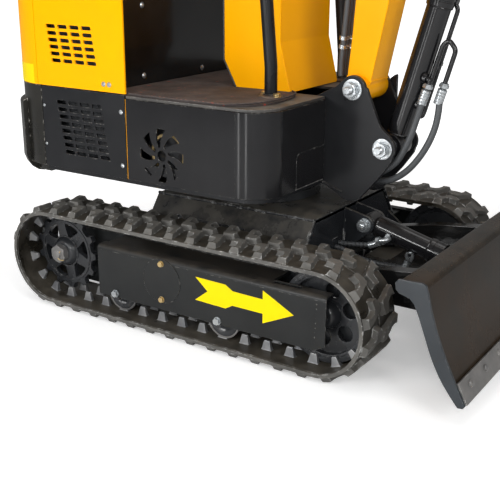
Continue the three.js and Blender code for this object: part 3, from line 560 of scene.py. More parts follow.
barrelPaint = newMaterial("barrel paint", {
    "colour": (0.008, 0.008, 0.009), "second": (0.011, 0.011, 0.012), "rough": 0.16, "roughSpread": 0.04,
    "coat": 0.25, "coatRough": 0.06, "specular": 0.32, "grain": (160.0, 0.05), "dust": (dusty, 0.10),
})
skirtPaint = newMaterial("skirt paint", {
    "colour": (0.010, 0.010, 0.011), "second": (0.013, 0.013, 0.014), "rough": 0.15, "roughSpread": 0.03,
    "specular": 0.24, "grain": (420.0, 0.06), "dust": (dusty, 0.12), "wear": ((0.34, 0.33, 0.30), 0.8),
})
glossBlack = newMaterial("gloss black paint", {
    "colour": (0.006, 0.006, 0.006), "second": (0.010, 0.010, 0.010), "rough": 0.2, "roughSpread": 0.05,
    "coat": 0.25, "specular": 0.35, "grain": (160.0, 0.06), "dust": (dusty, 0.10),
})
castBlack = newMaterial("cast black", {
    "colour": (0.016, 0.017, 0.019), "second": (0.030, 0.032, 0.035), "rough": 0.28, "roughSpread": 0.1,
    "specular": 0.4, "grain": (380.0, 0.35), "grainDepth": 0.0007, "coarse": 1.0,
    "wear": ((0.22, 0.22, 0.22), 0.5), "wearWidth": 0.003,
})
trackRubber = newMaterial("belt rubber", {
    "colour": (0.012, 0.0105, 0.008), "second": (0.030, 0.026, 0.020), "rough": 0.36, "roughSpread": 0.12,
    "specular": 0.35, "grain": (320.0, 0.3), "grainDepth": 0.0006, "coarse": 1.2,
    "dust": ((0.16, 0.14, 0.11), 0.35), "dustScale": 22.0, "patchScale": 16.0,
    "wear": ((0.30, 0.30, 0.29), 1.0), "wearWidth": 0.003, "breakup": 60.0,
})
lugRubber = newMaterial("lug rubber", {
    "colour": (0.060, 0.058, 0.053), "second": (0.115, 0.110, 0.100), "rough": 0.5, "roughSpread": 0.12,
    "grain": (320.0, 0.3), "grainDepth": 0.0006, "coarse": 1.2, "dust": ((0.20, 0.18, 0.15), 0.3),
    "dustScale": 22.0, "patchScale": 16.0, "wear": ((0.42, 0.42, 0.41), 1.0), "wearWidth": 0.005,
    "breakup": 60.0,
})
hornSteel = newMaterial("guide horn steel", {
    "colour": (0.17, 0.175, 0.185), "second": (0.30, 0.30, 0.30), "rough": 0.38, "metal": 0.55,
    "grain": (300.0, 0.25), "wear": ((0.4, 0.4, 0.4), 0.8),
})
zincPlate = newMaterial("zinc plate", {
    "colour": (0.52, 0.55, 0.57), "second": (0.40, 0.42, 0.43), "rough": 0.32, "roughSpread": 0.08,
    "metal": 0.85, "grain": (500.0, 0.12), "patchScale": 60.0,
})
brassPlate = newMaterial("yellow plate", {
    "colour": (0.60, 0.44, 0.20), "second": (0.48, 0.36, 0.18), "rough": 0.36, "metal": 0.8,
    "patchScale": 80.0,
})
chromePlate = newMaterial("chrome", {
    "colour": (0.72, 0.74, 0.76), "rough": 0.09, "roughSpread": 0.03, "metal": 1.0, "patchScale": 30.0,
})
wornSteel = newMaterial("worn steel", {
    "colour": (0.12, 0.12, 0.12), "second": (0.26, 0.25, 0.24), "rough": 0.46, "metal": 0.5,
    "grain": (240.0, 0.3), "wear": ((0.5, 0.49, 0.47), 1.0), "wearWidth": 0.004,
})
hoseRubber = newMaterial("hose rubber", {
    "colour": (0.050, 0.054, 0.058), "second": (0.066, 0.070, 0.074), "rough": 0.52, "grain": (700.0, 0.25),
})
seatVinyl = newMaterial("seat vinyl", {
    "colour": (0.016, 0.016, 0.018), "second": (0.024, 0.024, 0.026), "rough": 0.5, "grain": (900.0, 0.5),
    "grainDepth": 0.0006, "coarse": 0.2,
})
gripPlastic = newMaterial("grip plastic", {
    "colour": (0.020, 0.020, 0.021), "rough": 0.38, "grain": (800.0, 0.3),
})
arrowYellow = newMaterial("arrow yellow", {
    "colour": (0.86, 0.66, 0.0), "second": (0.83, 0.63, 0.0), "rough": 0.42, "roughSpread": 0.04,
    "specular": 0.12,
})
engineIron = newMaterial("engine iron", {
    "colour": (0.13, 0.135, 0.14), "second": (0.09, 0.09, 0.095), "rough": 0.55, "metal": 0.4,
    "grain": (220.0, 0.5),
})
print("materials built")


# Each hose runs to a crimped sleeve and a nut.
hoses = {
    "boomHoseRear": {
        "node": "boom_hose_rear", "radius": 9, "from": "house", "to": "boom_cylinder_barrel", "guard": 0,
        "route": [(301, -40, 446), (352, -42, 447), (400, -46, 452), (440, -50, 466), (474, -51, 494),
                  (496, -51, 530), (512, -49, 570), (520, -42, 605), (526, -32, 640), (531, -23, 670),
                  (539.1, -20, 699)],
    },
    "boomHoseFront": {
        "node": "boom_hose_front", "radius": 9, "from": "house", "to": "boom_cylinder_barrel", "guard": 0,
        "route": [(301, -16, 430), (360, -20, 430), (415, -28, 430), (464, -40, 444), (506, -46, 474),
                  (537, -44, 512), (560, -38, 556), (572, -28, 600), (574, -18, 640), (573, -12, 672),
                  (580.4, -10, 703)],
    },
    "bladeHoseRear": {
        "node": "blade_hose_rear", "radius": 7, "from": "undercarriage", "to": "blade_cylinder_barrel",
        "guard": 11, "route": [(322, -72, 243), (340, -71, 243), (372, -62, 244), (410, -50, 247),
                               (443, -42, 259)],
    },
    "bladeHoseFront": {
        "node": "blade_hose_front", "radius": 7, "from": "undercarriage", "to": "blade_cylinder_barrel",
        "guard": 11, "route": [(322, -92, 236), (343, -91, 233), (385, -80, 214), (430, -62, 200),
                               (475, -43, 193.5),
                  (506, -27, 192), (517.6, -19.2, 212.3)],
    },
}
crimp = {"length": 46, "guarded": 40, "swell": 1.45, "nut": 2.7}
guardWire = {"thick": 1.6, "step": 1.1}


def ferrule(radius, length, nutSide):  # the crimped sleeve on a hose's end, and its nut towards +z
    big = radius * crimp["swell"]
    profile = [(radius + 0.3, 0), (big - 0.8, 0), (big, 1.2)]
    for i in range(4):
        level = length * (0.15 + 0.17 * i)
        profile += [(big, level), (big - 0.9, level + 1.2), (big - 0.9, level + 2.4), (big, level + 3.4)]
    profile += [(big, length * 0.86), (radius * 0.95, length * 0.92), (radius * 0.95, length), (0, length)]
    sleeve = turned([(0, 0), *profile], 28)
    nut = hexagon(radius * crimp["nut"], length - 1, length + nutSide)
    return joined(sleeve, nut)


def helix(path, radius, pitch, thick):  # a spiral guard wound on a hose
    gap = sum((b - a).length for a, b in zip(path, path[1:])) / (len(path) - 1)
    side = (path[1] - path[0]).orthogonal().normalized()
    line = []
    for i in range(len(path) - 1):
        ahead = (path[i + 1] - path[i]).normalized()
        side = (side - ahead * side.dot(ahead)).normalized()
        turn = 2 * math.pi * i * gap / pitch
        line.append(path[i] + (side * math.cos(turn) + ahead.cross(side) * math.sin(turn))
                    * (radius + thick * 0.3))
    return pipe(line, thick, 6)


def buildHose(name, settings):
    radius = settings["radius"]
    path = flow(settings["route"], 4)
    tube = newPiece(name, None, [(pipe(path, radius, 18), hoseRubber)],
                    replaced=[settings["node"]])
    rowPath = [machineSpace @ p for p in path]
    ends = [("Start", path[0], path[3] - path[0], settings["from"]), ("End", path[-1], path[-4] - path[-1],
                                                                      settings["to"])]
    for label, spot, inward, body in ends[1:] if settings["guard"] else ends:
        length = crimp["guarded" if settings["guard"] else "length"]
        sleeve = aimed(ferrule(radius, length, radius * 0.9), spot + inward.normalized() * (length + 1),
                       -inward.normalized())
        newPiece(name + label, body, [(sleeve, zincPlate)])
    if settings["guard"]:
        inner = flow(settings["route"], guardWire["step"])
        clear = int(crimp["guarded"] / guardWire["step"]) + 4
        guard = helix(inner[3:-clear], radius, settings["guard"], guardWire["thick"])
        wrap = newPiece(name + "Guard", None, [(guard, gripPlastic)])
        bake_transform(wrap)
    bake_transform(tube)
    length = sum((b - a).length for a, b in zip(rowPath, rowPath[1:]))


for name, settings in hoses.items():
    buildHose(name, settings)
print("hoses laid")

trackSize = {
    "links": 38, "halfBase": 457, "height": 157, "inner": 131, "outer": 142, "top": 157, "centreY": 375,
    "halfWidth": 90, "firstLug": 24, "hornHeight": 27,
}
# A lug's plan on the right belt's outer row: (ahead along the belt, in from its outer edge).
lugFoot = [(-17, 0), (17, 0), (12, 12), (11, 26), (15, 42), (22, 50), (46, 52), (49, 62), (47, 78), (40, 82),
           (24, 84), (8, 84), (3, 76), (0, 58), (-7, 40), (-12, 24), (-13, 12)]
lugTop = [(-8, 19), (6, 19), (7, 22), (8, 30), (11, 42), (19, 55), (34, 56), (37, 62), (37, 74), (33, 78),
          (24, 80), (14, 80), (9, 72), (5, 56), (-2, 40), (-7, 28), (-8, 22)]


def onBelt(along, radius):  # a point at a distance along the belt
    size = trackSize
    straight = 2 * size["halfBase"]
    turn = math.pi * size["outer"]
    s = along % (2 * straight + 2 * turn)
    if s < straight:
        return -size["halfBase"] + s, size["height"] - radius
    s -= straight
    if s < turn:
        return polar(size["halfBase"], size["height"], radius, math.degrees(s / size["outer"]) - 90)
    s -= turn
    if s < straight:
        return size["halfBase"] - s, size["height"] + radius
    return polar(-size["halfBase"], size["height"], radius, math.degrees((s - straight) / size["outer"]) + 90)


def beltPoint(along, across, radius):
    x, z = onBelt(along, radius)
    return (x, across - trackSize["centreY"], z)


def beltLoft(along, loops):  # loops are ([(ahead, across)], radius), from the foot to the top
    points = [beltPoint(along + ahead, across, radius) for loop, radius in loops for ahead, across in loop]
    size = len(loops[0][0])
    faces = ringFaces(size, len(loops))
    top = [Vector((a, b, 0)) for a, b in loops[-1][0]]
    start = (len(loops) - 1) * size
    faces += [tuple(start + i for i in triangle) for triangle in tessellate_polygon([top])]
    bottom = [Vector((a, b, 0)) for a, b in loops[0][0]]
    faces += [tuple(triangle) for triangle in tessellate_polygon([bottom])]
    return points, faces


def blendLoops(first, second, share):
    return [(a[0] * (1 - share) + b[0] * share, a[1] * (1 - share) + b[1] * share)
            for a, b in zip(first, second)]


def buildLug(along, turned180):
    size = trackSize
    low, high = size["outer"] - 1, size["top"]

    def placed(loop):
        if turned180:  # the inner row is the outer row turned half round
            return [(-ahead, size["halfWidth"] - across) for ahead, across in loop]
        return [(ahead, -size["halfWidth"] + across) for ahead, across in loop]

    shoulder = blendLoops(lugFoot, lugTop, 0.55)
    loops = [(lugFoot, low), (blendLoops(lugFoot, lugTop, 0.3), low + 0.3 * (high - low)),
             (shoulder, high - 1.3), (inset(shoulder, 1.4), high)]
    shapes = [beltLoft(along, [(placed(loop), radius) for loop, radius in loops])]
    for k in range(5):  # thin ribs down the flared end
        ahead = -10 + 5 * k
        foot = [(ahead - 0.9, 1), (ahead + 0.9, 1), (ahead * 0.6 + 0.7, 17), (ahead * 0.6 - 0.7, 17)]
        ridge = [(ahead - 0.3, 2.5), (ahead + 0.3, 2.5), (ahead * 0.6 + 0.2, 19), (ahead * 0.6 - 0.2, 19)]
        points, faces = [], [(0, 1, 2, 3), (4, 5, 6, 7), (0, 1, 5, 4), (1, 2, 6, 5), (2, 3, 7, 6),
                             (3, 0, 4, 7)]
        for loop, lift in ((foot, -0.5), (ridge, 1.1)):
            heights = [0, 0, high - low - 1.5, high - low - 1.5]
            for (a, b), height in zip(placed(loop), heights):
                points.append(beltPoint(along + a, b, low + height + lift))
        shapes.append((points, faces))
    return shapes


def buildBelt():
    half = trackSize["halfWidth"]
    section = [(-half, 132), (-half + 1.5, 131), (-half + 6, 131), (-half + 8, 133), (half - 8, 133),
               (half - 6, 131), (half - 1.5, 131), (half, 132), (half, 141.5), (half - 1.2, 143),
               (half - 5, 143), (half - 9, 142), (1.5, 141.6), (0.8, 143.2), (-0.8, 143.2), (-1.5, 141.6),
               (-half + 9, 142), (-half + 5, 143), (-half + 1.2, 143), (-half, 141.5)]
    middle = [(-1.5, 141.7), (1.5, 141.7), (1.2, 143.7), (-1.2, 143.7)]
    edge = [(-half - 0.4, 132), (-half + 5, 130.6), (-half + 5, 132), (-half + 1, 133), (-half + 1, 142),
            (-half - 0.4, 142)]
    return aroundBelt(section), joined(aroundBelt(middle), aroundBelt(edge))


def aroundBelt(section):  # a closed loop with one section
    size = trackSize
    lap = 4 * size["halfBase"] + 2 * math.pi * size["outer"]
    steps = size["links"] * 6
    points = [beltPoint(lap * i / steps, across, radius) for i in range(steps) for across, radius in section]
    return points, ringFaces(len(section), steps, closed=True)


def buildHorn(along, across):  # a steel guide horn on the inside of the belt
    size = trackSize
    base = size["inner"] + 3
    loops = []
    for depth, length, width in ((0, 34, 16), (4, 29, 13), (size["hornHeight"] - 2, 19, 9),
                                 (size["hornHeight"], 17, 7)):
        loop = [(-length / 2, across - width / 2), (length / 2, across - width / 2),
                (length / 2, across + width / 2), (-length / 2, across + width / 2)]
        loops.append((filleted(loop, 2.5, 2), base - depth))
    return beltLoft(along, loops)


def buildTrackPiece(name, node, flip):
    size = trackSize
    pitch = (4 * size["halfBase"] + 2 * math.pi * size["outer"]) / size["links"]
    belt, bands = buildBelt()
    lugs, steel = [bands], []
    for i in range(size["links"]):
        along = size["firstLug"] + i * pitch
        lugs += buildLug(along, False)
        lugs += buildLug(along + pitch / 2, True)
        for across in (-27, 27):
            steel.append(buildHorn(along + 6, across))
    parts = [(belt, trackRubber), (joined(*lugs), lugRubber), (joined(*steel), hornSteel)]
    if flip:
        parts = [(mirrored(shape), look) for shape, look in parts]
    newPiece(name, "undercarriage", parts, replaced=[node], sharp=28)


buildTrackPiece("trackRight", "rubber_track_right", False)
buildTrackPiece("trackLeft", "rubber_track_left", True)
print("tracks built")


sprocketAt = (-trackSize["halfBase"], trackSize["height"])
idlerAt = (trackSize["halfBase"], trackSize["height"])
frameSize = {
    "rear": -275, "front": 483, "outerY": -440, "innerY": -310, "wall": 8, "top": 228, "bottom": 76,
    "bend": 13, "flange": -402, "boxEnd": 300, "rollers": (-212, 150), "rollerZ": 78,
    "coverAt": (-38, 163), "brassBolts": ((-37, 214), (-38, 108)),
    "zincBolts": ((-211, 88), (152, 87)),
    "arrow": [(80, 200), (179, 198), (202, 184), (297, 182), (297, 207), (391, 159), (297, 115), (297, 142),
              (201, 143), (179, 130), (78, 133), (120, 166)],
}


def weld(path, radius=3.2, ripple=4.0, seed=1):  # a bead with its ripples
    line = [Vector(p) for p in path]
    dense = []
    for a, b in zip(line, line[1:]):
        steps = max(1, round((b - a).length / (ripple / 2)))
        dense += [a.lerp(b, k / steps) for k in range(steps)]
    dense.append(line[-1])
    chance = random.Random(seed)
    sizes = [radius * (0.86 + 0.16 * (i % 2) + 0.12 * chance.random()) for i in range(len(dense))]
    return pipe(dense, lambda t: sizes[min(len(sizes) - 1, round(t * (len(sizes) - 1)))], 8)


def buildFrameWall():
    f = frameSize
    top = f["top"] - f["bend"]
    outline = [(f["rear"], f["bottom"]), (449, f["bottom"]), (f["front"], 92), (f["front"], top),
               (f["rear"], top)]
    wall = slab(outline, f["outerY"], f["outerY"] + 5, edge=1.2)
    bendOuter = [polar(f["outerY"] + f["bend"], top, f["bend"], a) for a in range(180, 89, -10)]
    bendInner = [polar(f["outerY"] + f["bend"], top, f["bend"] - 5, a) for a in range(90, 181, 10)]
    bend = slab([*bendOuter, (f["flange"], f["top"]), (f["flange"], f["top"] - 5), *bendInner], f["rear"],
                262, plane="yz", edge=1)
    bendFront = slab([*bendOuter, *bendInner], 262, f["front"], plane="yz", edge=1)
    slot = [*arc(392, -414, 7, -90, 90), *arc(322, -414, 7, 90, 270)]
    lip = slab(rectangle(262.2, f["front"], f["outerY"] + f["bend"], f["flange"]), f["top"] - 5, f["top"],
               holes=[slot], plane="xy", edge=1)
    return [wall, bend, bendFront, lip]


def buildTrackFrame(side):
    f = frameSize
    plates = buildFrameWall()
    plates.append(slab(rectangle(f["rear"], f["boxEnd"], -404, f["innerY"]), f["top"] - 12, f["top"] - 5,
                       plane="xy", edge=1))
    inner = filleted([(-520, 112), (-505, 70), (-470, 48), (-262, 48), (-240, 96), (f["boxEnd"], 96),
                      (f["boxEnd"], f["top"] - 2), (f["rear"], f["top"] - 2), (-500, 218), (-520, 202)], 12)
    plates.append(slab(inner, f["innerY"] - f["wall"], f["innerY"], holes=[circle(*sprocketAt, 46)],
                       edge=1.2))
    rear = slab(rectangle(-434, -316, 84, f["top"] - 14), f["rear"], f["rear"] + 6, plane="yz", edge=1)
    yoke = slab(filleted([(250, 138), (440, 132), (490, 132), (490, 182), (440, 182), (250, 200)], 14), -346,
                -337, holes=[circle(*idlerAt, 17)])
    plates += [rear, yoke, brick(250, f["boxEnd"], -346, f["innerY"] - 1, 150, 190)]
    plates.append(weld([(f["rear"] + 1, f["outerY"] + 4, 92), (f["rear"] + 1, f["outerY"] + 4, 212)], 2.6,
                       seed=4))
    cover = aimed(turned([(0, 0), (65, 0), (65, 2.2), (64.4, 2.7), (63.8, 2.2), (0, 2.2)], 72),
                  (f["coverAt"][0], f["outerY"] + 0.3, f["coverAt"][1]))
    plates.append(cover)
    for k in range(9):  # a line of tack marks near the front
        plates.append(aimed(turned([(0, 0), (1.5, 0), (1.2, 0.6), (0, 0.8)], 10),
                            (452 + k * 0.5, f["outerY"], 100 + 13 * k)))
    zinc, brass = [], []
    for x, z in f["zincBolts"]:
        zinc.append(aimed(bolt(10), (x, f["outerY"], z), spin=14))
    for x, z in f["brassBolts"]:
        brass.append(aimed(bolt(8), (x, f["outerY"] - 1.6, z), spin=20))
    rollers, flanges = [], []
    for x in f["rollers"]:
        drum = turned([(0, -410), (10, -410), (13, -406), (30, -405), (36, -409), (46, -410), (52, -405),
                       (52, -397), (45, -393), (43, -385), (43, -365), (45, -357), (52, -353), (52, -343),
                       (46, -340), (0, -340)], 48)
        rollers.append(aimed(drum, (x, 0, f["rollerZ"]), (0, 1, 0)))
        rollers.append(aimed(rod(14, 312, 440), (x, 0, f["rollerZ"])))
        flanges += [aimed(ring(52.6, 47, low, low + 10, 1.2, 48), (x, 0, f["rollerZ"]), (0, 1, 0))
                    for low in (-409.5, -352.5)]
    parts = [(joined(*plates), coverPaint), (joined(*zinc), zincPlate), (joined(*brass), brassPlate),
             (joined(*rollers), castBlack), (joined(*flanges), wornSteel)]
    # the arrow is a thin film
    parts.append((slab(f["arrow"], f["outerY"] - 0.5, f["outerY"] + 0.1, edge=0.1), arrowYellow))
    placeSides("trackFrame", "track_frame", side, "undercarriage", parts)


def placeSides(name, node, side, body, parts):
    if side == "Left":
        parts = [(mirrored(shape), look) for shape, look in parts]
    newPiece(name + side, body, parts, replaced=[node + "_" + side.lower()])


def buildSprocket(side):
    teeth = []
    for i in range(13):
        for share, radius in ((-0.34, 103), (-0.24, 106), (-0.14, 119), (0.14, 119), (0.24, 106),
                              (0.34, 103)):
            teeth.append(polar(*sprocketAt, radius, (i + share) * 360 / 13))
    windows = []
    for i in range(6):
        at = i * 60 + 12
        corners = [*arc(*sprocketAt, 87, at - 20, at + 20, 4), *arc(*sprocketAt, 49, at + 7, at - 7, 2)]
        windows.append(filleted(corners, 10, 3))
    disc = slab(teeth, -384, -366, windows, edge=1.6)
    iron = [disc]
    for face, way in ((-383.6, (0, -1, 0)), (-366.4, (0, 1, 0))):
        iron.append(aimed(ring(98, 90, -1, 3.2, 1.4, 60), atDepth(sprocketAt, face), way))
        iron.append(aimed(ring(50, 30, -1, 3.0, 1.4, 60), atDepth(sprocketAt, face), way))
    iron.append(aimed(turned([(0, 0), (48, 0), (46, 5), (42, 12), (37, 18), (32, 21), (0, 21)], 48),
                      atDepth(sprocketAt, -382)))
    nut = aimed(hexagon(50, 0, 20), atDepth(sprocketAt, -402.6), spin=8)
    stud = aimed(threaded(12, 0, 8), atDepth(sprocketAt, -422))
    pin = pipe(bent([(-446, -421, 168), (-452, -427, 158), (-452, -427, 146), (-444, -426, 141),
                     (-430, -424, 143)], 4), 1.5, 8)
    placeSides("driveSprocket", "drive_sprocket", side, "undercarriage",
               [(joined(*iron), castBlack), (joined(nut, stud), wornSteel), (pin, brassPlate)])


def buildIdler(side):
    holes = [circle(*polar(*idlerAt, 67, 60 * i + 20), 20.5, 28) for i in range(6)]
    web = slab(circle(*idlerAt, 112, 72), -381, -368, holes, edge=3.5, rings=3)
    rim = aimed(ring(128, 104, -22, 22, 4, 72), atDepth(idlerAt, -375))
    lip = aimed(turned([(108, 18), (112, 24), (118, 24), (119, 18)], 72), atDepth(idlerAt, -375))
    hub = aimed(turned([(0, 30), (20, 30), (25, 27), (34, 20), (38, 8), (42, 2), (42, -12), (26, -27),
                        (0, -27)], 48),
                atDepth(idlerAt, -375))
    cap = aimed(rod(12, 28, 33, 1, 28), atDepth(idlerAt, -375))
    # painted shade: a dark ring behind the web, so that its holes show shade instead of the floor beyond
    back = aimed(ring(96, 40, -22, -20, 0.6, 60), atDepth(idlerAt, -375))
    axle = aimed(rod(16, 330, 357), atDepth(idlerAt, 0))
    placeSides("idlerWheel", "idler_wheel", side, "undercarriage",
               [(joined(web, rim, lip, hub, cap, axle, back), castBlack)])


def buildMotor(side):
    gearbox = aimed(turned([(0, 0), (44, 0), (44, 40), (40, 46), (40, 69.7), (0, 69.7)], 40),
                    atDepth(sprocketAt, -295.8))
    case = slab(filleted([(-520, 118), (-500, 106), (-420, 106), (-404, 118), (-404, 196), (-420, 208),
                          (-500, 208), (-520, 196)], 12), -309.4, -222, edge=4, rings=3)
    ports = brick(-500, -440, -262, -232, 200, 236, 2, 4)
    bolts = [aimed(bolt(8), atDepth(polar(-462, 157, 38, 45 + 90 * i), -222), (0, 1, 0))
             for i in range(4)]
    caps = [aimed(bolt(14, False), (x, -247, 236), (0, 0, 1)) for x in (-486, -454)]
    placeSides("travelMotor", "travel_motor", side, "undercarriage",
               [(joined(gearbox, case, ports), castBlack), (joined(*bolts, *caps), zincPlate)])


for side in ("Right", "Left"):
    buildTrackFrame(side)
    buildSprocket(side)
    buildIdler(side)
    buildMotor(side)
print("track frames and wheels built")

bladePivot = (352, 196)
bladeCylinderPivots = {"base": (385, 298), "tip": (690, 217)}
chassisSize = {"rear": -219, "front": 320, "topY": 218, "top": 345, "kneeZ": 226, "footY": 309.7,
               "footZ": 150, "wall": 12}


def slopedSide():  # the right-hand sloping plate with its slot and hole, drawn flat and laid on the slope
    c = chassisSize
    rise = c["top"] - c["kneeZ"]
    run = c["footY"] - c["topY"]
    length = math.hypot(rise, run)
    slot = [*arc(112, 77, 10, -90, 90, 10), *arc(-56, 77, 10, 90, 270, 10)]
    hole = circle(-116, 80, 12)
    plate = slab(rectangle(c["rear"], c["front"], 0, length), -c["wall"], 0, holes=[slot, hole], plane="xy",
                 edge=1.5)
    tip = math.atan2(rise, run)
    return moved(plate, Matrix.Translation((0, -c["footY"], c["kneeZ"])) @ Matrix.Rotation(tip, 4, "X"))


def buildChassis():
    c = chassisSize
    black = [brick(c["rear"], c["front"], -c["topY"], c["topY"], c["top"] - c["wall"], c["top"], 1.5, 2)]
    for mirror in (False, True):
        foot = brick(c["rear"], c["front"], -c["footY"], -c["footY"] + c["wall"], c["footZ"], c["kneeZ"], 1.5,
                     2)
        beads = [
            weld([(c["rear"], -c["topY"], c["top"] - 1), (c["front"], -c["topY"], c["top"] - 1)], 4.5,
                 seed=7),
            weld([(c["rear"], -c["footY"] + 1, c["kneeZ"]), (c["front"], -c["footY"] + 1, c["kneeZ"])], 4,
                 seed=8),
            weld([(c["front"], -c["topY"], c["top"] - 2), (c["front"], -c["footY"] + 4, c["kneeZ"] - 2)], 4,
                 seed=9),
        ]
        shapes = [slopedSide(), foot, *beads]
        for edge in (-1, 1):
            middle = -236 + edge * 27
            lug = [(318, 160), (352, 164), *arc(*bladePivot, 32, -80, 70, 14), (318, 262)]
            shapes.append(slab(lug, middle - 5, middle + 5, edge=1.5))
            shapes.append(weld([(321, middle - 6, 168), (321, middle - 6, 256)], 3, seed=11))
        shapes.append(aimed(rod(14, -38, 38, 1.5), (352, -236, 196)))
        black += [mirrored(shape) for shape in shapes] if mirror else shapes
    front = [(-c["topY"], c["top"] - 2), (-305, 224), (-305, 176), (305, 176), (305, 224),
             (c["topY"], c["top"] - 2)]
    black.append(slab(front, c["front"] - c["wall"], c["front"], plane="yz", edge=1.5))
    for y in (-41, 31):
        lug = [(318, 210), *arc(*bladeCylinderPivots["base"], 27, -60, 84, 14), (318, 340)]
        black.append(slab(lug, y, y + 10, edge=1.5))
        black.append(weld([(321, y - 1, 216), (321, y - 1, 336)], 3, seed=12))
        black.append(weld([(321, y + 11, 216), (321, y + 11, 336)], 3, seed=13))
    black.append(aimed(rod(12, -50, 50), atDepth(bladeCylinderPivots["base"], 0)))
    black.append(brick(318, 400, -305, 305, 146, 152, 1.5, 4))
    black.append(brick(310, 321, -110, -58, 222, 262, 2, 4))  # the plate that the blade's hoses leave
    zinc = [aimed(bolt(18, True, 9), atDepth(bladeCylinderPivots["base"], -41), spin=12),
            aimed(bolt(18), atDepth(bladeCylinderPivots["base"], 41), (0, 1, 0))]
    for y in (-236, 236):
        for side in (-1, 1):
            zinc.append(aimed(bolt(16), (352, y + side * 32, 196), (0, side, 0)))
    newPiece("chassisFrame", "undercarriage", [(joined(*black), chassisPaint),
                                                              (joined(*zinc), zincPlate)],
             replaced=["chassis_frame"])


def buildSlewRings():
    for name, node, body, outer, low, high, boltCircle, way in (
        ("slewRingLower", "slew_ring_lower", "undercarriage", 190, 345.3, 376, 181, (0, 0, 1)),
        ("slewRingUpper", "slew_ring_upper", "house", 176, 376.6, 411.7, 0, (0, 0, -1)),
    ):
        shapes = [ring(outer, 115, low, high - 6, 2, 72), ring(outer - 12, 115, low + 4, high, 1.5, 72)]
        heads = []
        if boltCircle:
            for i in range(20):
                x, y = polar(0, 0, boltCircle, 18 * i)
                heads.append(aimed(bolt(7, False), (x, y, high - 7), way))
        parts = [(joined(*shapes), castBlack)]
        if heads:
            parts.append((joined(*heads), castBlack))
        newPiece(name, body, parts, replaced=[node])


buildChassis()
buildSlewRings()
print("chassis built")


bladeSize = {"armY": 236, "halfWidth": 465, "end": 8}


def stubs(radius, low, high, spot):  # a pin's two ends, with room for the eye between them
    return [aimed(rod(radius, low, high), spot, (0, way, 0)) for way in (-1, 1)]


def curve(points, spacing=8):  # a smooth flat line through points
    return [(p.x, p.y) for p in flow([(a, b, 0) for a, b in points], spacing)]


def buildBlade():
    b = bladeSize
    half = b["halfWidth"] - b["end"]
    face = curve([(746, 318), (757, 285), (772, 242), (791, 190), (812, 140), (836, 92), (858, 50)])
    back = curve([(846, 47), (824, 74), (806, 100), (786, 137), (770, 174), (755, 210), (744, 240),
                  (736, 264)])
    fold = [(727, 286), (715, 296), (684, 300), (681, 312), (684, 321), (690, 324), (738, 324)]
    sheet = slab([*face, *back, *fold], -half, half, edge=1.5)
    rim = [(741, 328), (751, 322), (757, 303), *curve([(766, 268), (784, 216), (804, 168), (829, 117),
                                                       (864, 50)]),
           (859, 43), (846, 42), *curve([(826, 66), (801, 100), (774, 150), (752, 205), (737, 243)]),
           (724, 272), (712, 284), (686, 291), (676, 300), (674, 316), (682, 326)]
    ends = [slab(rim, y, y + b["end"], edge=1.6) for y in (-b["halfWidth"], half)]
    edgeStrip = slab([(836, 97), *curve([(836, 97), (847, 74), (860, 48)])[1:], (867, 51), (853, 80),
                      (842, 101)],
                     -half, half, edge=1)
    heads = [aimed(turned([(0, 4), (6, 3.4), (9, 1), (9, -2), (0, -2)], 24), (854, y, 82), (0.9, 0, 0.42))
             for y in range(-400, 401, 100)]
    black, dark, steel = [sheet], [], [edgeStrip, *heads]
    for side in (-1, 1):
        middle = side * b["armY"]
        arm = [*arc(*bladePivot, 26, 100, 260, 16), (500, 169), (600, 169), (786, 169), (748, 282),
               (500, 254)]
        hole = circle(*bladePivot, 15)
        dark.append(slab(arm, middle - 20, middle + 20, [hole], edge=2))
        for face in (-1, 1):
            dark.append(aimed(ring(25, 15.2, -1, 3, 1), (352, middle + face * 19.5, 196), (0, face, 0)))
            dark.append(weld([(734, middle + face * 20, 266), (766, middle + face * 20, 186)], 3,
                             seed=20 + face))
    web = [(770, -b["armY"]), (770, b["armY"]), (430, b["armY"]), (430, 15), (545, 15), (545, -105),
           (430, -105), (430, -b["armY"])]
    dark.append(slab(web, 169, 178, edge=1.5, plane="xy"))
    for y in (-41, 31):
        lug = [(745, 300), (732, 240), (752, 200), *arc(*bladeCylinderPivots["tip"], 24, 250, 100, 14)]
        black.append(slab(lug, y, y + 10, edge=1.5))
        black.append(weld([(744, y - 1, 296), (731, y - 1, 244), (748, y - 1, 204)], 3, seed=23))
    pin = [*stubs(11.6, 29, 49, atDepth(bladeCylinderPivots["tip"], 0)),
           aimed(bolt(16), atDepth(bladeCylinderPivots["tip"], -41)),
           aimed(bolt(16), atDepth(bladeCylinderPivots["tip"], 41), (0, 1, 0))]
    parts = [(joined(*black), bladePaint), (joined(*ends), bladeEdge), (joined(*steel), wornSteel),
             (joined(*dark), glossBlack), (joined(*pin), zincPlate)]
    newPiece("dozerBlade", "blade", parts, replaced=["dozer_blade"])


bladePaint = newMaterial("blade paint", {
    "colour": (0.010, 0.007, 0.0035), "second": (0.026, 0.014, 0.006), "rough": 0.24, "roughSpread": 0.05,
    "specular": 0.18, "grain": (180.0, 0.08), "patchScale": 5.0, "dust": (dusty, 0.2),
    "wear": ((0.30, 0.29, 0.27), 0.5),
})
bladeEdge = newMaterial("blade end paint", {
    "colour": (0.019, 0.024, 0.029), "second": (0.028, 0.034, 0.040), "rough": 0.38, "grain": (260.0, 0.15),
    "wear": ((0.34, 0.34, 0.34), 0.7),
})
buildBlade()
print("blade built")

# The boom leans forward in two straight halves, and every pivot follows from them.
boomSize = {"lower": 600, "upper": 760, "lowerLean": 8, "upperLean": 50, "half": 55, "cheek": 11.5}
boomPivot = (350, 685)
cylinderPivot = (447, 533)
armSize = {"length": 760, "lever": 140, "half": 40, "outward": 40}
linkage = {"spacing": 170, "lever": 140, "curl": 30}


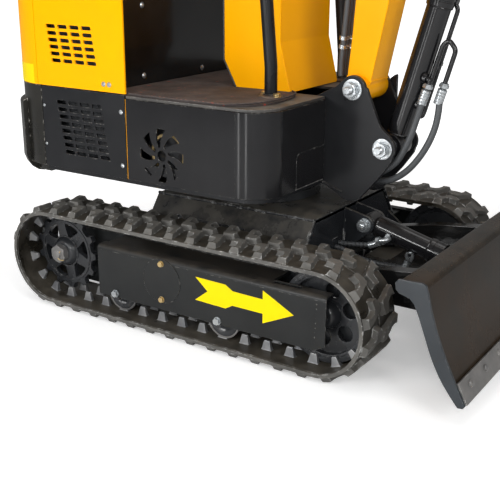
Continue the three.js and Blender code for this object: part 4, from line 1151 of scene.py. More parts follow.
def boomPoint(section, along, across):  # distances along and across one half of the boom
    lean = math.radians(boomSize[section + "Lean"])
    first = math.radians(boomSize["lowerLean"])
    reach = 0 if section == "lower" else boomSize["lower"]
    x = boomPivot[0] + reach * math.sin(first) + along * math.sin(lean) + across * math.cos(lean)
    z = boomPivot[1] + reach * math.cos(first) + along * math.cos(lean) - across * math.sin(lean)
    return x, z


def pivotSpace(parent, x, z, turn):
    return parent @ Matrix.Translation((x, 0, z)) @ Matrix.Rotation(math.radians(turn), 4, "Y")


armPin = boomPoint("upper", boomSize["upper"], 0)
armSpace = pivotSpace(machineSpace, *armPin, -armSize["outward"])
bucketSpace = pivotSpace(armSpace, 0, -armSize["length"], linkage["curl"])
rockerPivot = (0, linkage["spacing"] - armSize["length"])
rockerSpace = pivotSpace(armSpace, *rockerPivot, linkage["curl"])
rockerTip = (linkage["lever"] * math.cos(math.radians(linkage["curl"])),
             rockerPivot[1] - linkage["lever"] * math.sin(math.radians(linkage["curl"])))
linkSpace = pivotSpace(armSpace, *rockerTip, 0)
leverTurn = math.radians(-armSize["outward"])
leverTip = (armPin[0] + armSize["lever"] * math.sin(leverTurn),
            armPin[1] + armSize["lever"] * math.cos(leverTurn))

# A cylinder is drawn along +z from its base pin, and its rod hangs from the rod's eye.
cylinders = {
    "blade_cylinder": {
        "parent": machineSpace, **bladeCylinderPivots, "tube": 30, "rod": 13, "length": 238,
        "rodLength": 200, "eye": 27, "rodEye": 22, "eyeHalf": 28, "pin": 12,
    },
    "boom_cylinder": {
        "parent": machineSpace, "base": cylinderPivot, "tip": boomPoint("upper", 150, 150), "tube": 32.5,
        "rod": 17, "length": 436, "rodLength": 440, "eye": 35, "rodEye": 28, "eyeHalf": 38, "pin": 17.5,
    },
    "arm_cylinder": {
        "parent": machineSpace, "base": boomPoint("upper", -10, -128), "tip": leverTip, "tube": 29, "rod": 15,
        "length": 560, "rodLength": 380, "eye": 28, "rodEye": 24, "eyeHalf": 17, "pin": 15,
    },
    "bucket_cylinder": {
        "parent": armSpace, "base": (86, -74), "tip": rockerTip, "tube": 25, "rod": 12, "length": 330,
        "rodLength": 300, "eye": 22, "rodEye": 21, "eyeHalf": 26, "pin": 12,
    },
}


def eyeRing(radius, bore, half):  # an eye across the cylinder, with a bush in it
    shell = turned(filleted([(bore + 2.6, -half), (radius, -half), (radius, half), (bore + 2.6, half)], 2.5,
                            3), 44)
    bush = turned(filleted([(bore, -half - 0.4), (bore + 2.7, -half - 0.4), (bore + 2.7, half + 0.4),
                            (bore, half + 0.4)], 0.6, 2), 40)
    return aimed(shell, (0, 0, 0)), aimed(bush, (0, 0, 0))


def beadRing(radius, level, thick, seed):
    return weld([polar(0, 0, radius, a) + (level,) for a in range(0, 361, 8)], thick, 5, seed)


def barrelShapes(c):
    tube, length = c["tube"], c["length"]
    shell, bush = eyeRing(c["eye"], c["pin"] + 1, c["eyeHalf"])
    body = turned([(0, c["eye"] - 9), (tube - 7, c["eye"] - 9), (tube - 1, c["eye"] - 2),
                   (tube, c["eye"] + 4), (tube, length - 46), (tube - 1.5, length - 44),
                   (c["rod"] + 2, length - 44), (c["rod"] + 2, c["eye"] + 14), (0, c["eye"] + 14)], 56)
    gland = turned([(c["rod"] + 1, length - 45), (tube + 3, length - 45), (tube + 4, length - 43.5),
                    (tube + 4, length - 32), (tube + 2.6, length - 31), (tube + 2.6, length - 28),
                    (tube + 4, length - 27), (tube + 4, length - 3), (tube + 2.5, length - 1),
                    (tube - 4, length), (c["rod"] + 7, length), (c["rod"] + 6, length - 4),
                    (c["rod"] + 1, length - 4)], 56)
    wiper = ring(c["rod"] + 6.2, c["rod"] + 0.4, length - 5, length + 2.5, 1.2, 40)
    notches = [aimed(rod(3.4, tube + 2, tube + 4.6, 0.4, 16), (0, 0, length - 15),
                     (math.cos(a * math.pi / 2), math.sin(a * math.pi / 2), 0)) for a in range(4)]
    beads = [beadRing(tube - 2, c["eye"] + 1, 3.4, 31), beadRing(tube + 1.0, length - 47, 2.6, 32)]
    return [shell, body, gland, *beads, *notches], [bush], [wiper]


def elbow(path, radius=7, bend=14, sides=18):
    return pipe(bent(path, bend), radius, sides)


def bladePorts():  # a silver elbow to the upper port and a boss under the tube for the other hose
    top = [rod(13, 24, 34, 1.5), aimed(hexagon(24, 0, 12), (0, 0, 33))]
    upper = [aimed(shape, (6, 0, 82), (0, -1, 0)) for shape in top]
    steel = [elbow([(14, -58, 66), (6, -58, 82), (6, -40, 82)], 7.5, 8), upper[1]]
    steel.append(aimed(hexagon(20, 0, 11), (20, -58, 55), (-0.48, 0, 0.87)))
    lower = [aimed(shape, (0, -19, 151), (1, 0, 0)) for shape in top]
    steel += [lower[1], aimed(rod(8, 0, 10), (36, -19, 151), (1, 0, 0))]
    return [upper[0], lower[0]], steel


def boomPorts():  # an elbow for each hose, and the long pipe that runs up the front of the tube
    black = [
        elbow([(24, -20, 206), (45.3, -20, 206), (45.3, -20, 186)], 7, 12),
        aimed(rod(14, 26, 37, 2), (0, -20, 206), (1, 0, 0)),
        elbow([(84.1, -10, 201), (84.1, -10, 300), (58, -10, 318), (46, -10, 300), (44, -10, 160)], 6.5, 22),
        elbow([(44, -10, 160), (44, -10, 130), (24, -10, 130)], 6.5, 12),
        aimed(rod(13, 26, 36, 2), (0, -10, 130), (1, 0, 0)),
        elbow([(44, 22, 110), (44, 22, 392), (26, 22, 408)], 6, 20),
        aimed(rod(12, 24, 38, 2), (0, 22, 408), (1, 0, 0)),
        elbow([(44, 22, 112), (44, 18, 96), (30, 14, 92)], 6, 8),
        brick(30, 50, 14, 30, 240, 250, 1, 2),
    ]
    steel = [aimed(hexagon(20, 0, 10), (45.3, -20, 185), (0, 0, 1)), aimed(hexagon(20, 0, 10),
                                                                           (84.1, -10, 200), (0, 0, 1))]
    return black, steel


def shortPorts(tube, low, high):  # two plain ports joined to pipes along the tube
    black = [aimed(rod(11, tube - 4, tube + 8, 1.5), (0, 0, low), (1, 0, 0)),
             aimed(rod(11, tube - 4, tube + 8, 1.5), (0, 0, high), (1, 0, 0)),
             elbow([(tube + 4, 0, high), (tube + 13, 0, high), (tube + 13, 0, low + 34)], 5, 8, 14)]
    steel = [aimed(hexagon(19, 0, 9), (tube + 7, 0, low), (1, 0, 0)),
             aimed(hexagon(15, 0, 10), (tube + 13, 0, low + 26), (0, 0, 1))]
    return black, steel


portShapes = {
    "blade_cylinder": bladePorts(), "boom_cylinder": boomPorts(), "arm_cylinder": shortPorts(29, 63, 480),
    "bucket_cylinder": shortPorts(25, 55, 270),
}


def buildCylinder(name, c):
    lean = math.degrees(math.atan2(c["tip"][0] - c["base"][0], c["tip"][1] - c["base"][1]))
    label = name.split("_")[0] + "Cylinder"
    black, bushes, rubber = barrelShapes(c)
    portBlack, portSteel = portShapes[name]
    parts = [(joined(*black, *portBlack), barrelPaint), (joined(*bushes, *portSteel), zincPlate),
             (joined(*rubber), gripPlastic)]
    newPiece(label + "Barrel", name + "_barrel", parts,
             pivotSpace(c["parent"], *c["base"], lean), replaced=[name + "_barrel"])
    shell, bush = eyeRing(c["rodEye"], c["pin"], c["eyeHalf"])
    shaft = rod(c["rod"], -c["rodLength"], 6 - c["rodEye"], 2, 44)
    collar = beadRing(c["rod"] + 1, -c["rodEye"] - 1, 3, 33)
    newPiece(label + "Rod", name + "_rod",
             [(shaft, chromePlate), (joined(shell, collar), glossBlack), (bush, zincPlate)],
             pivotSpace(c["parent"], *c["tip"], lean), replaced=[name + "_rod"])


for name, settings in cylinders.items():
    buildCylinder(name, settings)
print("cylinders built")


houseSize = {
    "side": 398, "front": 270, "corner": 90, "bottom": 412, "deck": 660, "hoodBase": 665, "hoodTop": 925,
    "hoodFront": -183, "pocketFront": -262, "rear": -667, "rearCorner": 150, "panelRear": -503,
    "skirtTop": 651.7, "plateInner": 68, "plateOuter": 80,
}


def swept(section, stations):  # section points are (inward, z); stations are (x, y, outward x, outward y)
    points = [(x - inward * nx, y - inward * ny, z) for x, y, nx, ny in stations for inward, z in section]
    size = len(section)
    faces = ringFaces(size, len(stations))
    triangles = tessellate_polygon([[Vector((a, b, 0)) for a, b in section]])
    for start in (0, (len(stations) - 1) * size):
        faces += [tuple(start + i for i in triangle) for triangle in triangles]
    return points, faces


def frontStations(begin, end):  # along the right side from x = begin, round the front corner to y = end
    h = houseSize
    middle = (h["front"] - h["corner"], -h["side"] + h["corner"])
    path = [(begin, -h["side"], 0, -1)] if begin < middle[0] else []
    for a in range(-90, 1, 5):
        x, y = polar(*middle, h["corner"], a)
        path.append((x, y, *polar(0, 0, 1, a)))
    return [*path, (h["front"], end, 1, 0)]


def rearStations(begin, last=0):  # along the right side from x = begin, round the rear corner to y = last
    h = houseSize
    middle = (h["rear"] + h["rearCorner"], -h["side"] + h["rearCorner"])
    path = []
    if begin > middle[0]:
        path.append((begin, -h["side"], 0, -1))
    for a in range(-90, -181, -5):
        x, y = polar(*middle, h["rearCorner"], a)
        if x <= begin:
            path.append((x, y, *polar(0, 0, 1, a)))
    return [*path, (h["rear"], last, -1, 0)] if last > middle[1] else path


def wallSection(low, high, thick=6, inward=0, edge=0.9):
    return [(inward + edge, low), (inward, low + edge), (inward, high - edge), (inward + edge, high),
            (inward + thick - edge, high), (inward + thick, high - edge), (inward + thick, low + edge),
            (inward + thick - edge, low)]


def both(shapes):
    return [*shapes, *(mirrored(shape) for shape in shapes)]


def squared(shape, value, reach=1.2):  # straightens a plate's edge that lies along one x
    return [(value if abs(p[0] - value) < reach else p[0], p[1], p[2]) for p in shape[0]], shape[1]


def nutStack(direction):  # a washer, a spring washer, a nut and a threaded end, along +z
    parts = [turned([(0, 0), (28.5, 0), (29, 0.7), (28.4, 4.4), (26, 5), (0, 5)], 52),
             ring(19, 12, 5, 8.5, 1, 40), hexagon(37, 8.5, 24), threaded(11, 23, 38, 2.4)]
    return aimed(joined(*parts), (0, 0, 0), direction, 12)


def buildTurntable():
    h = houseSize
    side, corner = h["side"] - 8, h["corner"] - 8
    plan = [(-504.6, -side), *arc(262 - corner, -side + corner, corner, -90, 0, 14),
            *arc(262 - corner, side - corner, corner, 0, 90, 14), (-504.6, side)]
    black = [slab(plan, 412, 424, plane="xy", edge=1.5)]
    black.append(brick(-500, 250, -h["plateOuter"], h["plateOuter"], 423, 452, 2, 4))
    black.append(brick(240, 300, -60, 60, 416, 470, 2, 4))
    bracket = [
        (120, 424), (272, 412), *filleted([(330, 378), (352, 371), (380, 380), (442, 454), (474, 500)], 24, 5,
                                          False),
        *arc(*cylinderPivot, 36, -30, 48, 14), *filleted([(468, 565), (436, 592), (414, 640), (392, 690)], 30,
                                                         6, False),
        *arc(*boomPivot, 38, 12, 120, 16), (300, 690), (200, 640), (120, 560),
    ]
    holes = [circle(*boomPivot, 18.5), circle(*cylinderPivot, 18.5)]
    for y in (-h["plateOuter"], h["plateInner"]):
        black.append(slab(bracket, y, y + 12, holes, edge=1.3))
        outer = y - 0.6 if y < 0 else y + 12.6
        black.append(weld([(122, outer, 428), (268, outer, 416), (330, outer, 396)], 4, seed=41))
    for x, z in (boomPivot, cylinderPivot):
        for y, way in ((-h["plateInner"], 1), (h["plateInner"], -1)):
            black.append(aimed(ring(30, 18.5, -1, 4, 1.2), (x, y, z), (0, way, 0)))
    tie = slab(filleted([(384, 700), (405, 716), (406, 640), (474, 545), (452, 560), (398, 628)], 4, 2), 80.5,
               92, edge=1.2)
    black += [tie, brick(300, 312, -67, 67, 470, 560, 1.5, 3)]
    zinc = [aimed(hexagon(24, 0, 9), (300, y, z), (1, 0, 0)) for y, z in ((-40, 446), (-16, 430))]
    newPiece("turntableFrame", "house", [(joined(*black), blackPaint),
                                                        (joined(*zinc), zincPlate)],
             replaced=["turntable_frame"])


def buildPins():
    zinc = {"foot": boomPivot, "cylinder": cylinderPivot}
    for name, (x, z) in zinc.items():
        node = "boom_foot_pin" if name == "foot" else "boom_cylinder_pin"
        shapes = [aimed(rod(17.3, -86, 86, 1.5, 44), (x, 0, z))]
        for face in (-1, 1):
            shapes.append(moved(nutStack((0, face, 0)), Matrix.Translation((x, face * 80.2, z))))
        newPiece(name + "Pin", "house", [(joined(*shapes), zincPlate)], replaced=[node])


fanVent = {"at": (-61, 508), "radius": 75, "hub": 15, "root": 24, "blades": 8}


def fanHoles():  # curved blade openings around a centre hole
    f = fanVent
    holes = [circle(*f["at"], f["hub"], 28)]
    for k in range(f["blades"]):
        start = 360 * k / f["blades"] + 8
        lead = [polar(*f["at"], f["root"] + (f["radius"] - f["root"]) * t, start - 20 * t ** 1.3)
                for t in (0, 0.25, 0.5, 0.75, 1)]
        trail = [polar(*f["at"], f["root"] + (f["radius"] - f["root"]) * t,
                       start + 18 + 4 * t - 20 * t ** 1.3)
                 for t in (1, 0.75, 0.5, 0.25, 0)]
        holes.append(filleted([*lead, *trail], 2.5, 2))
    return holes


def buildSkirts():
    h = houseSize
    f = fanVent
    low = h["bottom"] + 13
    seam = h["front"] - h["corner"]
    for side in ("Right", "Left"):
        holes = fanHoles() if side == "Right" else []
        plate = slab(rectangle(h["hoodFront"], seam, low, h["skirtTop"]), -h["side"], -h["side"] + 6, holes,
                     edge=0.9)
        shapes = [squared(plate, seam), swept(wallSection(low, h["skirtTop"]),
                                              frontStations(200, -h["plateOuter"] - 4))]
        shapes.append(swept(wallSection(h["skirtTop"] - 5, h["skirtTop"], 26, 1),
                            frontStations(h["hoodFront"] + 1, -86)))
        shapes.append(swept(wallSection(low, low + 5, 22, 1), frontStations(h["hoodFront"] + 1, -86)))
        shapes.append(slab(rectangle(-172, 172, low + 24, low + 50), -h["side"] + 5.8, -h["side"] + 9,
                           edge=0.8))
        seamLine = bent([(269.6, -235, 428), (269.6, -235, 525), (269.6, -87, 525)], 20)
        shapes.append(pipe(seamLine, 1.1, 8))
        bright = pipe([(269.4, -238, low + 1.5), (269.4, -86, low + 1.5)], 1.3, 8)
        parts = [(joined(*shapes), skirtPaint), (bright, wornSteel)]
        if side == "Right":  # behind the vent: a brass ring as a painted glint and a dark disc as painted shade, seen through the openings
            ventGlintRing = aimed(ring(58, 50, 0, 6, 1, 48), (f["at"][0], -h["side"] + 34, f["at"][1]))
            parts += [(ventGlintRing, brassPlate), (aimed(rod(84, 0, 4), (f["at"][0], -h["side"] + 52, f["at"][1])),
                                           castBlack)]
        placeSides("frontSkirt", "front_skirt", side, "house", parts)


def louvres(start, z, columns, rows, pitchX, pitchZ, drift, size):  # rows of slanted slots with round ends
    width, height = size
    holes = []
    for row in range(rows):
        for column in range(columns):
            x = start + column * pitchX + row * drift
            middle = z - row * pitchZ
            slot = [(x, middle + height / 2), (x + width - 3, middle + height / 2),
                    (x + width, middle - height / 2), (x + 3, middle - height / 2)]
            holes.append(filleted(slot, 4.5, 4))
    return holes


def louvreLips(start, z, columns, rows, pitchX, pitchZ, drift, size, y):  # the pressed lip under each slot
    lips = []
    for row in range(rows):
        for column in range(columns):
            x = start + column * pitchX + row * drift
            middle = z - row * pitchZ - size[1] / 2
            lips.append(pipe([(x + 5, y, middle), (x + size[0] - 1, y, middle)], 1.0, 8))
    return lips


sideSlots = {"start": -446, "z": 620, "columns": 4, "rows": 8, "pitchX": 45, "pitchZ": 20.6, "drift": 3.5,
             "size": (39.5, 12)}
hoodSlots = {"start": -472, "z": 834, "columns": 4, "rows": 6, "pitchX": 45, "pitchZ": 19, "drift": 3,
             "size": (39, 10.5)}


def buildSidePanels():
    h = houseSize
    for side in ("Right", "Left"):
        outline = rectangle(h["panelRear"], h["hoodFront"] - 4, h["bottom"] + 13, h["deck"] + 2)
        plate = slab(outline, -h["side"], -h["side"] + 6, louvres(**sideSlots), edge=0.8)
        shapes = [plate, *louvreLips(**sideSlots, y=-h["side"] + 0.6)]
        rail = [(-497, -h["side"] + 14), (-497, -h["side"] + 26), (-194, -h["side"] + 26),
                (-194, -h["side"] + 14)]
        shapes.append(slab(rail, 444, 456, plane="xy"))
        # painted shade: a dark sheet behind the louvre slots, seen through them
        dark = slab(rectangle(-470, -230, 440, 650), -h["side"] + 32, -h["side"] + 35)
        screws = [aimed(domedScrew((0, 3), (4, 2.4), (6.4, 0.6)), (x, -h["side"], z))
                  for x, z in ((-201, 614), (-202, 462))]
        heads = [aimed(domedScrew((0, 2.4), (3, 2), (4.6, 0.4), steps=16), (-496, -h["side"], z))
                 for z in (606, 492)]
        seam = slab(rectangle(-187.2, -183.4, 426, 651), -h["side"] + 3.4, -h["side"] + 5.4, edge=0.3)
        placeSides("sidePanel", "engine_side_panel", side, "house",
                   [(joined(*shapes), blackPaint), (dark, castBlack), (joined(*screws, *heads), zincPlate),
                    (seam, yellowPaint)])


def buildCounterweight():
    h = houseSize
    thick = [(40, 392), (20, 396), (4, 407), (-8, 424), (-14, 442), (-14, 604), (-12.5, 610), (-8, 614),
             (-3, 615), (34, 615), (40, 610)]
    recess = [(22, 402), (22, 600), (26, 604), (38, 604), (38, 402)]
    outer = rearStations(-572)
    shapes = both([
        swept(thick, outer), swept(recess, rearStations(-506)[:10]),
        swept(wallSection(425, 664, 6, 1), [(-505.5, -h["side"], 0, -1), *rearStations(-519, -218)]),
        brick(-516, -506, -h["side"] + 5, -h["side"] + 24, 425, 664, 1, 2),
    ])
    heads = both([aimed(bolt(8, False), (-530, -h["side"] + 24, z)) for z in (590, 452)])
    newPiece("counterweight", "house", [(joined(*shapes), counterweightPaint),
                                                       (joined(*heads), castBlack)],
             replaced=["counterweight"])


def buildHood():
    h = houseSize
    base, top = h["hoodBase"], h["hoodTop"]
    outline = rectangle(-514, h["hoodFront"], base, top - 12)
    sidePlate = slab(outline, -h["side"], -h["side"] + 6, louvres(**hoodSlots), edge=0.9)
    rounded = [(0, top - 12), *arc(12, top - 12, 12, 180, 90, 6), (30, top), (30, top - 6), (12, top - 6),
               (6, top - 12)]
    shoulder = swept(rounded, [(-288, -h["side"], 0, -1), *rearStations(-519, 0)])
    shapes = [sidePlate, shoulder]
    shapes.append(swept(wallSection(base, top - 12.2), rearStations(-517, -218)))
    shapes.append(swept([(0, top - 12), *arc(12, top - 12, 12, 180, 130, 5), (6, top - 4), (6, top - 12)],
                        [(h["hoodFront"], -h["side"], 0, -1), (-288, -h["side"], 0, -1)]))
    shapes = both(shapes)
    back = h["rear"] + 28
    plan = [(-288, -370), (-517, -370), *arc(-517, -248, 122, -90, -180, 14)[1:], (back, 248),
            *arc(-517, 248, 122, 180, 90, 14)[1:], (-288, 370)]
    shapes.append(slab(plan, top - 6, top, plane="xy", edge=0.6))
    shapes.append(slab(rectangle(-218, 218, 880, top - 12), h["rear"], h["rear"] + 6, plane="yz", edge=0.9))
    # painted shade: dark sheets behind the hood's slots and along its foot, seen through the openings
    dark = both([slab(rectangle(-480, -292, 700, 880), -h["side"] + 24, -h["side"] + 27),
                 slab(rectangle(-503, -292, 650, 678), -h["side"] + 7, -h["side"] + 9)])
    strip = both([slab(rectangle(-518, -512, base + 1, top - 14), -h["side"] + 1.4, -h["side"] + 5,
                       edge=0.3)])
    screws = both([aimed(domedScrew((0, 4), (5, 3.2), (7.5, 0.6)), (x, -h["side"], 686))
                   for x in (-260, -240)])
    sticker = swept([(-0.5, 667), (-0.5, 722), (0.1, 722), (0.1, 667)], rearStations(-524, -248)[:-3])
    newPiece("engineHood", "house",
             [(joined(*shapes, *strip), yellowPaint), (joined(*dark), castBlack),
              (joined(*screws), zincPlate), (sticker, arrowYellow)],
             replaced=["engine_hood"])


def buildRearDoor():
    h = houseSize
    face = h["rear"] - 4
    skin = slab(filleted(rectangle(-216, 216, 620, 877.5), 14), face, face + 14, plane="yz", edge=3, rings=4)
    rib = [slab(filleted(rectangle(-170, 170, z, z + 46), 12), face - 3, face + 1, plane="yz", edge=2.5,
                rings=3)
           for z in (668, 806)]
    slots = [slab(filleted(rectangle(y, y + 62, z, z + 9), 4), face - 1.2, face + 0.5, plane="yz", edge=0.6)
             for y in (-20, 60, -100) for z in (726, 744, 762, 780)]
    latch = [brick(face - 12, face + 1, -190, -140, 740, 780, 2, 3)]
    latch.append(aimed(rod(9, 0, 5), (face - 12, -165, 766), (-1, 0, 0)))
    hinges = [aimed(rod(7, 0, 60), (face - 1, 208, z), (0, 0, 1)) for z in (650, 800)]
    newPiece("rearDoor", "rear_door",
             [(joined(skin, *rib), yellowPaint), (joined(*slots, *latch), gripPlastic),
              (joined(*hinges), zincPlate)],
             replaced=["rear_door"])


def buildEngine():
    iron = [brick(-552, -350, -120, 120, 452.3, 600, 3, 8), brick(-540, -365, -90, 90, 596, 668, 3, 8)]
    iron += [brick(-520, -380, -100, 100, z, z + 4, 1, 3) for z in range(676, 716, 9)]
    iron += [brick(-505, -395, -80, 80, 660, 718, 2, 4), brick(-500, -400, -60, 60, 716, 740, 2, 8)]
    shroud = aimed(turned([(0, 0), (95, 0), (100, 6), (100, 30), (92, 38), (0, 38)], 48), (-452, -120, 560))
    filterCan = aimed(turned([(0, 0), (34, 0), (36, 3), (36, 86), (30, 94), (0, 94)], 36), (-400, 60, 700),
                      (0, 1, 0))
    muffler = aimed(turned([(0, 0), (36, 0), (42, 6), (42, 150), (36, 156), (0, 156)], 36), (-510, -70, 690),
                    (0, 1, 0))
    newPiece("engineBlock", "house",
             [(joined(*iron), engineIron), (joined(shroud, filterCan), castBlack), (muffler, wornSteel)],
             replaced=["engine_block"])


def buildFloor():
    h = houseSize
    side, corner = h["side"] - 4, h["corner"] - 4
    half = [(h["hoodFront"], -side), *arc(266 - corner, -side + corner, corner, -90, 0, 14), (266, -82),
            (110, -82)]
    plan = [*half, *[(x, -y) for x, y in half[::-1]]]
    plate = slab(plan, 652, 660, plane="xy", edge=1.2)
    under = brick(h["pocketFront"], h["hoodFront"] + 2, -h["side"] + 7, h["side"] - 7, 652.2, 659.8)
    newPiece("floorPlate", "house", [(joined(plate, under), deckPaint)],
             replaced=["floor_plate"])


def buildMat():
    front = curve([(-178, -388), (-60, -391), (60, -389), (140, -382), (196, -348), (222, -290), (224, -215),
                   (206, -140), (172, -98)], 7)
    plan = [(-256, 388), (-256, -388), *front, (-24, -110), (-24, 388)]
    sheet = slab(plan, 660.3, 666, [circle(168, -207, 33, 32)], plane="xy", edge=1.6)
    chance = random.Random(5)
    rim = [(x, y, 665.4 + 1.6 * (chance.random() - 0.5) + max(0, x - 120) * 0.05) for x, y in front]
    rolled = pipe(flow(rim, 5), 2.6, 10)
    stitches = []
    inner = [(x - 9, y + 9, 666.1) for x, y in front]
    for a, b in list(zip(inner, inner[1:]))[::2]:
        a, b = Vector(a), Vector(b)
        stitches.append(pipe([a, a.lerp(b, 0.55)], 0.8, 6))
    newPiece("floorMat", "house", [(joined(sheet, rolled), matRubber),
                                                 (joined(*stitches), matStitch)],
             replaced=["floor_mat"])


def buildSeatBox():
    h = houseSize
    half = h["side"] - 7
    front = slab(filleted(rectangle(-half, half, 660.3, h["hoodTop"]), 5, 3), h["pocketFront"] - 25,
                 h["pocketFront"], plane="yz", edge=2)
    screws = [aimed(domedScrew((0, 5), (5, 4), (8.5, 1), steps=22), (h["pocketFront"], y, z), (1, 0, 0))
              for y, z in ((67, 684), (-220, 890), (220, 890), (-220, 690), (230, 684))]
    newPiece("seatBox", "house", [(front, glossBlack), (joined(*screws), zincPlate)],
             replaced=["seat_box"])


def buildConsole():
    foot = houseSize["deck"] + 3.6
    outside = [(168, foot), (134, 800), (134, 985), (96, 1040), (-24, 1040), (-56, 1010), (-56, 741),
               (-14, foot)]
    inside = [(161, foot - 1), (128, 799), (128, 983), (93, 1034), (-22, 1034), (-50, 1008), (-50, 743),
              (-6, foot - 1)]
    cheeks = [slab(filleted(outside, 5, 3), y, y + 6, edge=2.2, rings=3) for y in (-106, 170)]
    skin = slab([*filleted(outside, 5, 3, False), *filleted(inside[::-1], 4, 2, False)], -101, 171, edge=0.6)
    trim = pipe([(-14, -105.6, foot + 1), (-56, -105.6, 741), (-56, -105.6, 1010), (-24, -105.6, 1040)], 3,
                10)
    newPiece("consoleCowl", "house",
             [(joined(skin, *cheeks), yellowPaint), (joined(trim, mirrored(trim, 35)), gripPlastic)],
             replaced=["console_cowl"])


def grip():  # a moulded hand grip on top of a lever
    return turned([(0, 0), (15, 0), (17, 4), (16, 18), (18, 30), (16.5, 42), (19, 54), (18, 62), (12, 67),
                   (0, 68)], 28)


def boot(low, high, wide, narrow, folds):  # a rubber bellows
    profile = [(0, low)]
    for k in range(folds * 2 + 1):
        t = k / (folds * 2)
        profile.append((wide + (narrow - wide) * t + (2.2 if k % 2 == 0 else -2.2), low + (high - low) * t))
    return turned([*profile, (narrow - 1, high + 2), (0, high + 2)], 30)


def buildLevers():
    black, steel = [brick(-10, 92, -70, 148, 1040.3, 1052, 2.5, 8)], []
    for y in (-40, 118):
        steel.append(pipe(bent([(50, y, 1045), (46, y, 1120), (18, y, 1215)], 30), 7.6, 18))
        lean = Vector((18 - 46, 0, 1215 - 1120)).normalized()
        black.append(aimed(grip(), (20, y, 1196), lean))
        black.append(moved(boot(0, 44, 26, 12, 4), Matrix.Translation((50, y, 1051))))
    for y in (18, 60):
        steel.append(pipe(bent([(80, y, 1045), (84, y, 1120), (66, y, 1210)], 30), 7.4, 18))
        lean = Vector((66 - 84, 0, 90)).normalized()
        black.append(aimed(turned([(0, 0), (9, 0), (15, 8), (16, 18), (13, 27), (6, 31), (0, 32)], 26),
                           (68, y, 1196), lean))
        black.append(moved(boot(0, 30, 16, 9, 3), Matrix.Translation((80, y, 1051))))
    newPiece("controlLevers", "house", [(joined(*black), gripPlastic),
                                                       (joined(*steel), zincPlate)],
             replaced=["control_levers"])


def buildPosts():
    for side in ("Right", "Left"):
        path = [(168, -207, 662), (168, -207, 745), (40, -207, 2090), (-62, -237, 2128)]
        post = pipe(bent(path, 55, 12), 17.5, 36)
        flange = moved(turned([(17, 0), (31, 0), (33, 2), (33, 7), (31, 9.5), (19, 10.5), (17, 10)], 40),
                       Matrix.Translation((168, -207, 660.5)))
        bead = moved(beadRing(18.4, 0, 2.8, 51), Matrix.Translation((168, -207, 671.5)))
        screws = [aimed(bolt(10), (168 + dx, -207 + dy, 668), (0, 0, 1)) for dx, dy in ((25, -9), (-25, 9))]
        top = brick(-90, -45, -262, -212, 2134, 2149.6, 2, 4)
        placeSides("frontPost", "canopy_post_front", side, "house",
                   [(joined(post, bead, top), blackPaint), (flange, rustyFlange),
                    (joined(*screws), brassPlate)])
        path = [(-560, -300, 930), (-560, -300, 2090), (-450, -300, 2128)]
        post = pipe(bent(path, 55, 12), 17.5, 36)
        foot = brick(-600, -520, -332, -268, 925.3, 935, 1.5, 6)
        bead = moved(beadRing(18.4, 0, 2.8, 52), Matrix.Translation((-560, -300, 935.5)))
        screws = [aimed(bolt(10), (-560 + dx, -300 + dy, 935), (0, 0, 1)) for dx in (-28, 28)
                  for dy in (-21, 21)]
        top = brick(-470, -425, -325, -275, 2134, 2149.6, 2, 4)
        placeSides("rearPost", "canopy_post_rear", side, "house",
                   [(joined(post, foot, bead, top), blackPaint), (joined(*screws), zincPlate)])


def lofted(loops, flatAxes=(0, 1)):  # closed loops of equal length, capped at both ends
    size = len(loops[0])
    points = [p for loop in loops for p in loop]
    faces = ringFaces(size, len(loops))
    for start in (0, (len(loops) - 1) * size):
        flat = [Vector((p[flatAxes[0]], p[flatAxes[1]], 0)) for p in points[start:start + size]]
        faces += [tuple(start + i for i in triangle) for triangle in tessellate_polygon([flat])]
    return points, faces


def roundedPlan(x0, x1, y, r, steps):  # a rectangle about y = 0 with round corners
    return [*arc(x1 - r, -y + r, r, -90, 0, steps), *arc(x1 - r, y - r, r, 0, 90, steps),
            *arc(x0 + r, y - r, r, 90, 180, steps), *arc(x0 + r, -y + r, r, 180, 270, steps)]


roofSize = {"rear": -640, "front": 110, "halfWidth": 400, "corner": 70}


def roofLoop(inward, z):
    r = roofSize
    plan = roundedPlan(r["rear"] + inward, r["front"] - inward, r["halfWidth"] - inward,
                       max(r["corner"] - inward, 8), 10)
    return [(a, b, z) for a, b in plan]


def buildRoof():
    levels = [(40, 2194), (36, 2190), (34, 2184), (34, 2154), (33, 2151), (30, 2150), (3, 2150), (0, 2153),
              (0, 2176), (2, 2180), (8, 2184), (18, 2190), (26, 2197), (36, 2201), (52, 2202)]
    shell = lofted([roofLoop(inward, z) for inward, z in levels])
    ribs = [slab(filleted(rectangle(-560, 30, y - 16, y + 16), 14, 5), 2200, 2205.5, plane="xy", edge=3,
                 rings=4)
            for y in (-240, -120, 0, 120, 240)]
    screws = [aimed(bolt(10), (x, y, 2201.5), (0, 0, 1)) for x, y in ((-68, -300), (-68, 300), (-448, -300),
                                                                      (-448, 300))]
    newPiece("canopyRoof", "house", [(joined(shell, *ribs), yellowPaint),
                                                     (joined(*screws), castBlack)],
             replaced=["canopy_roof"])


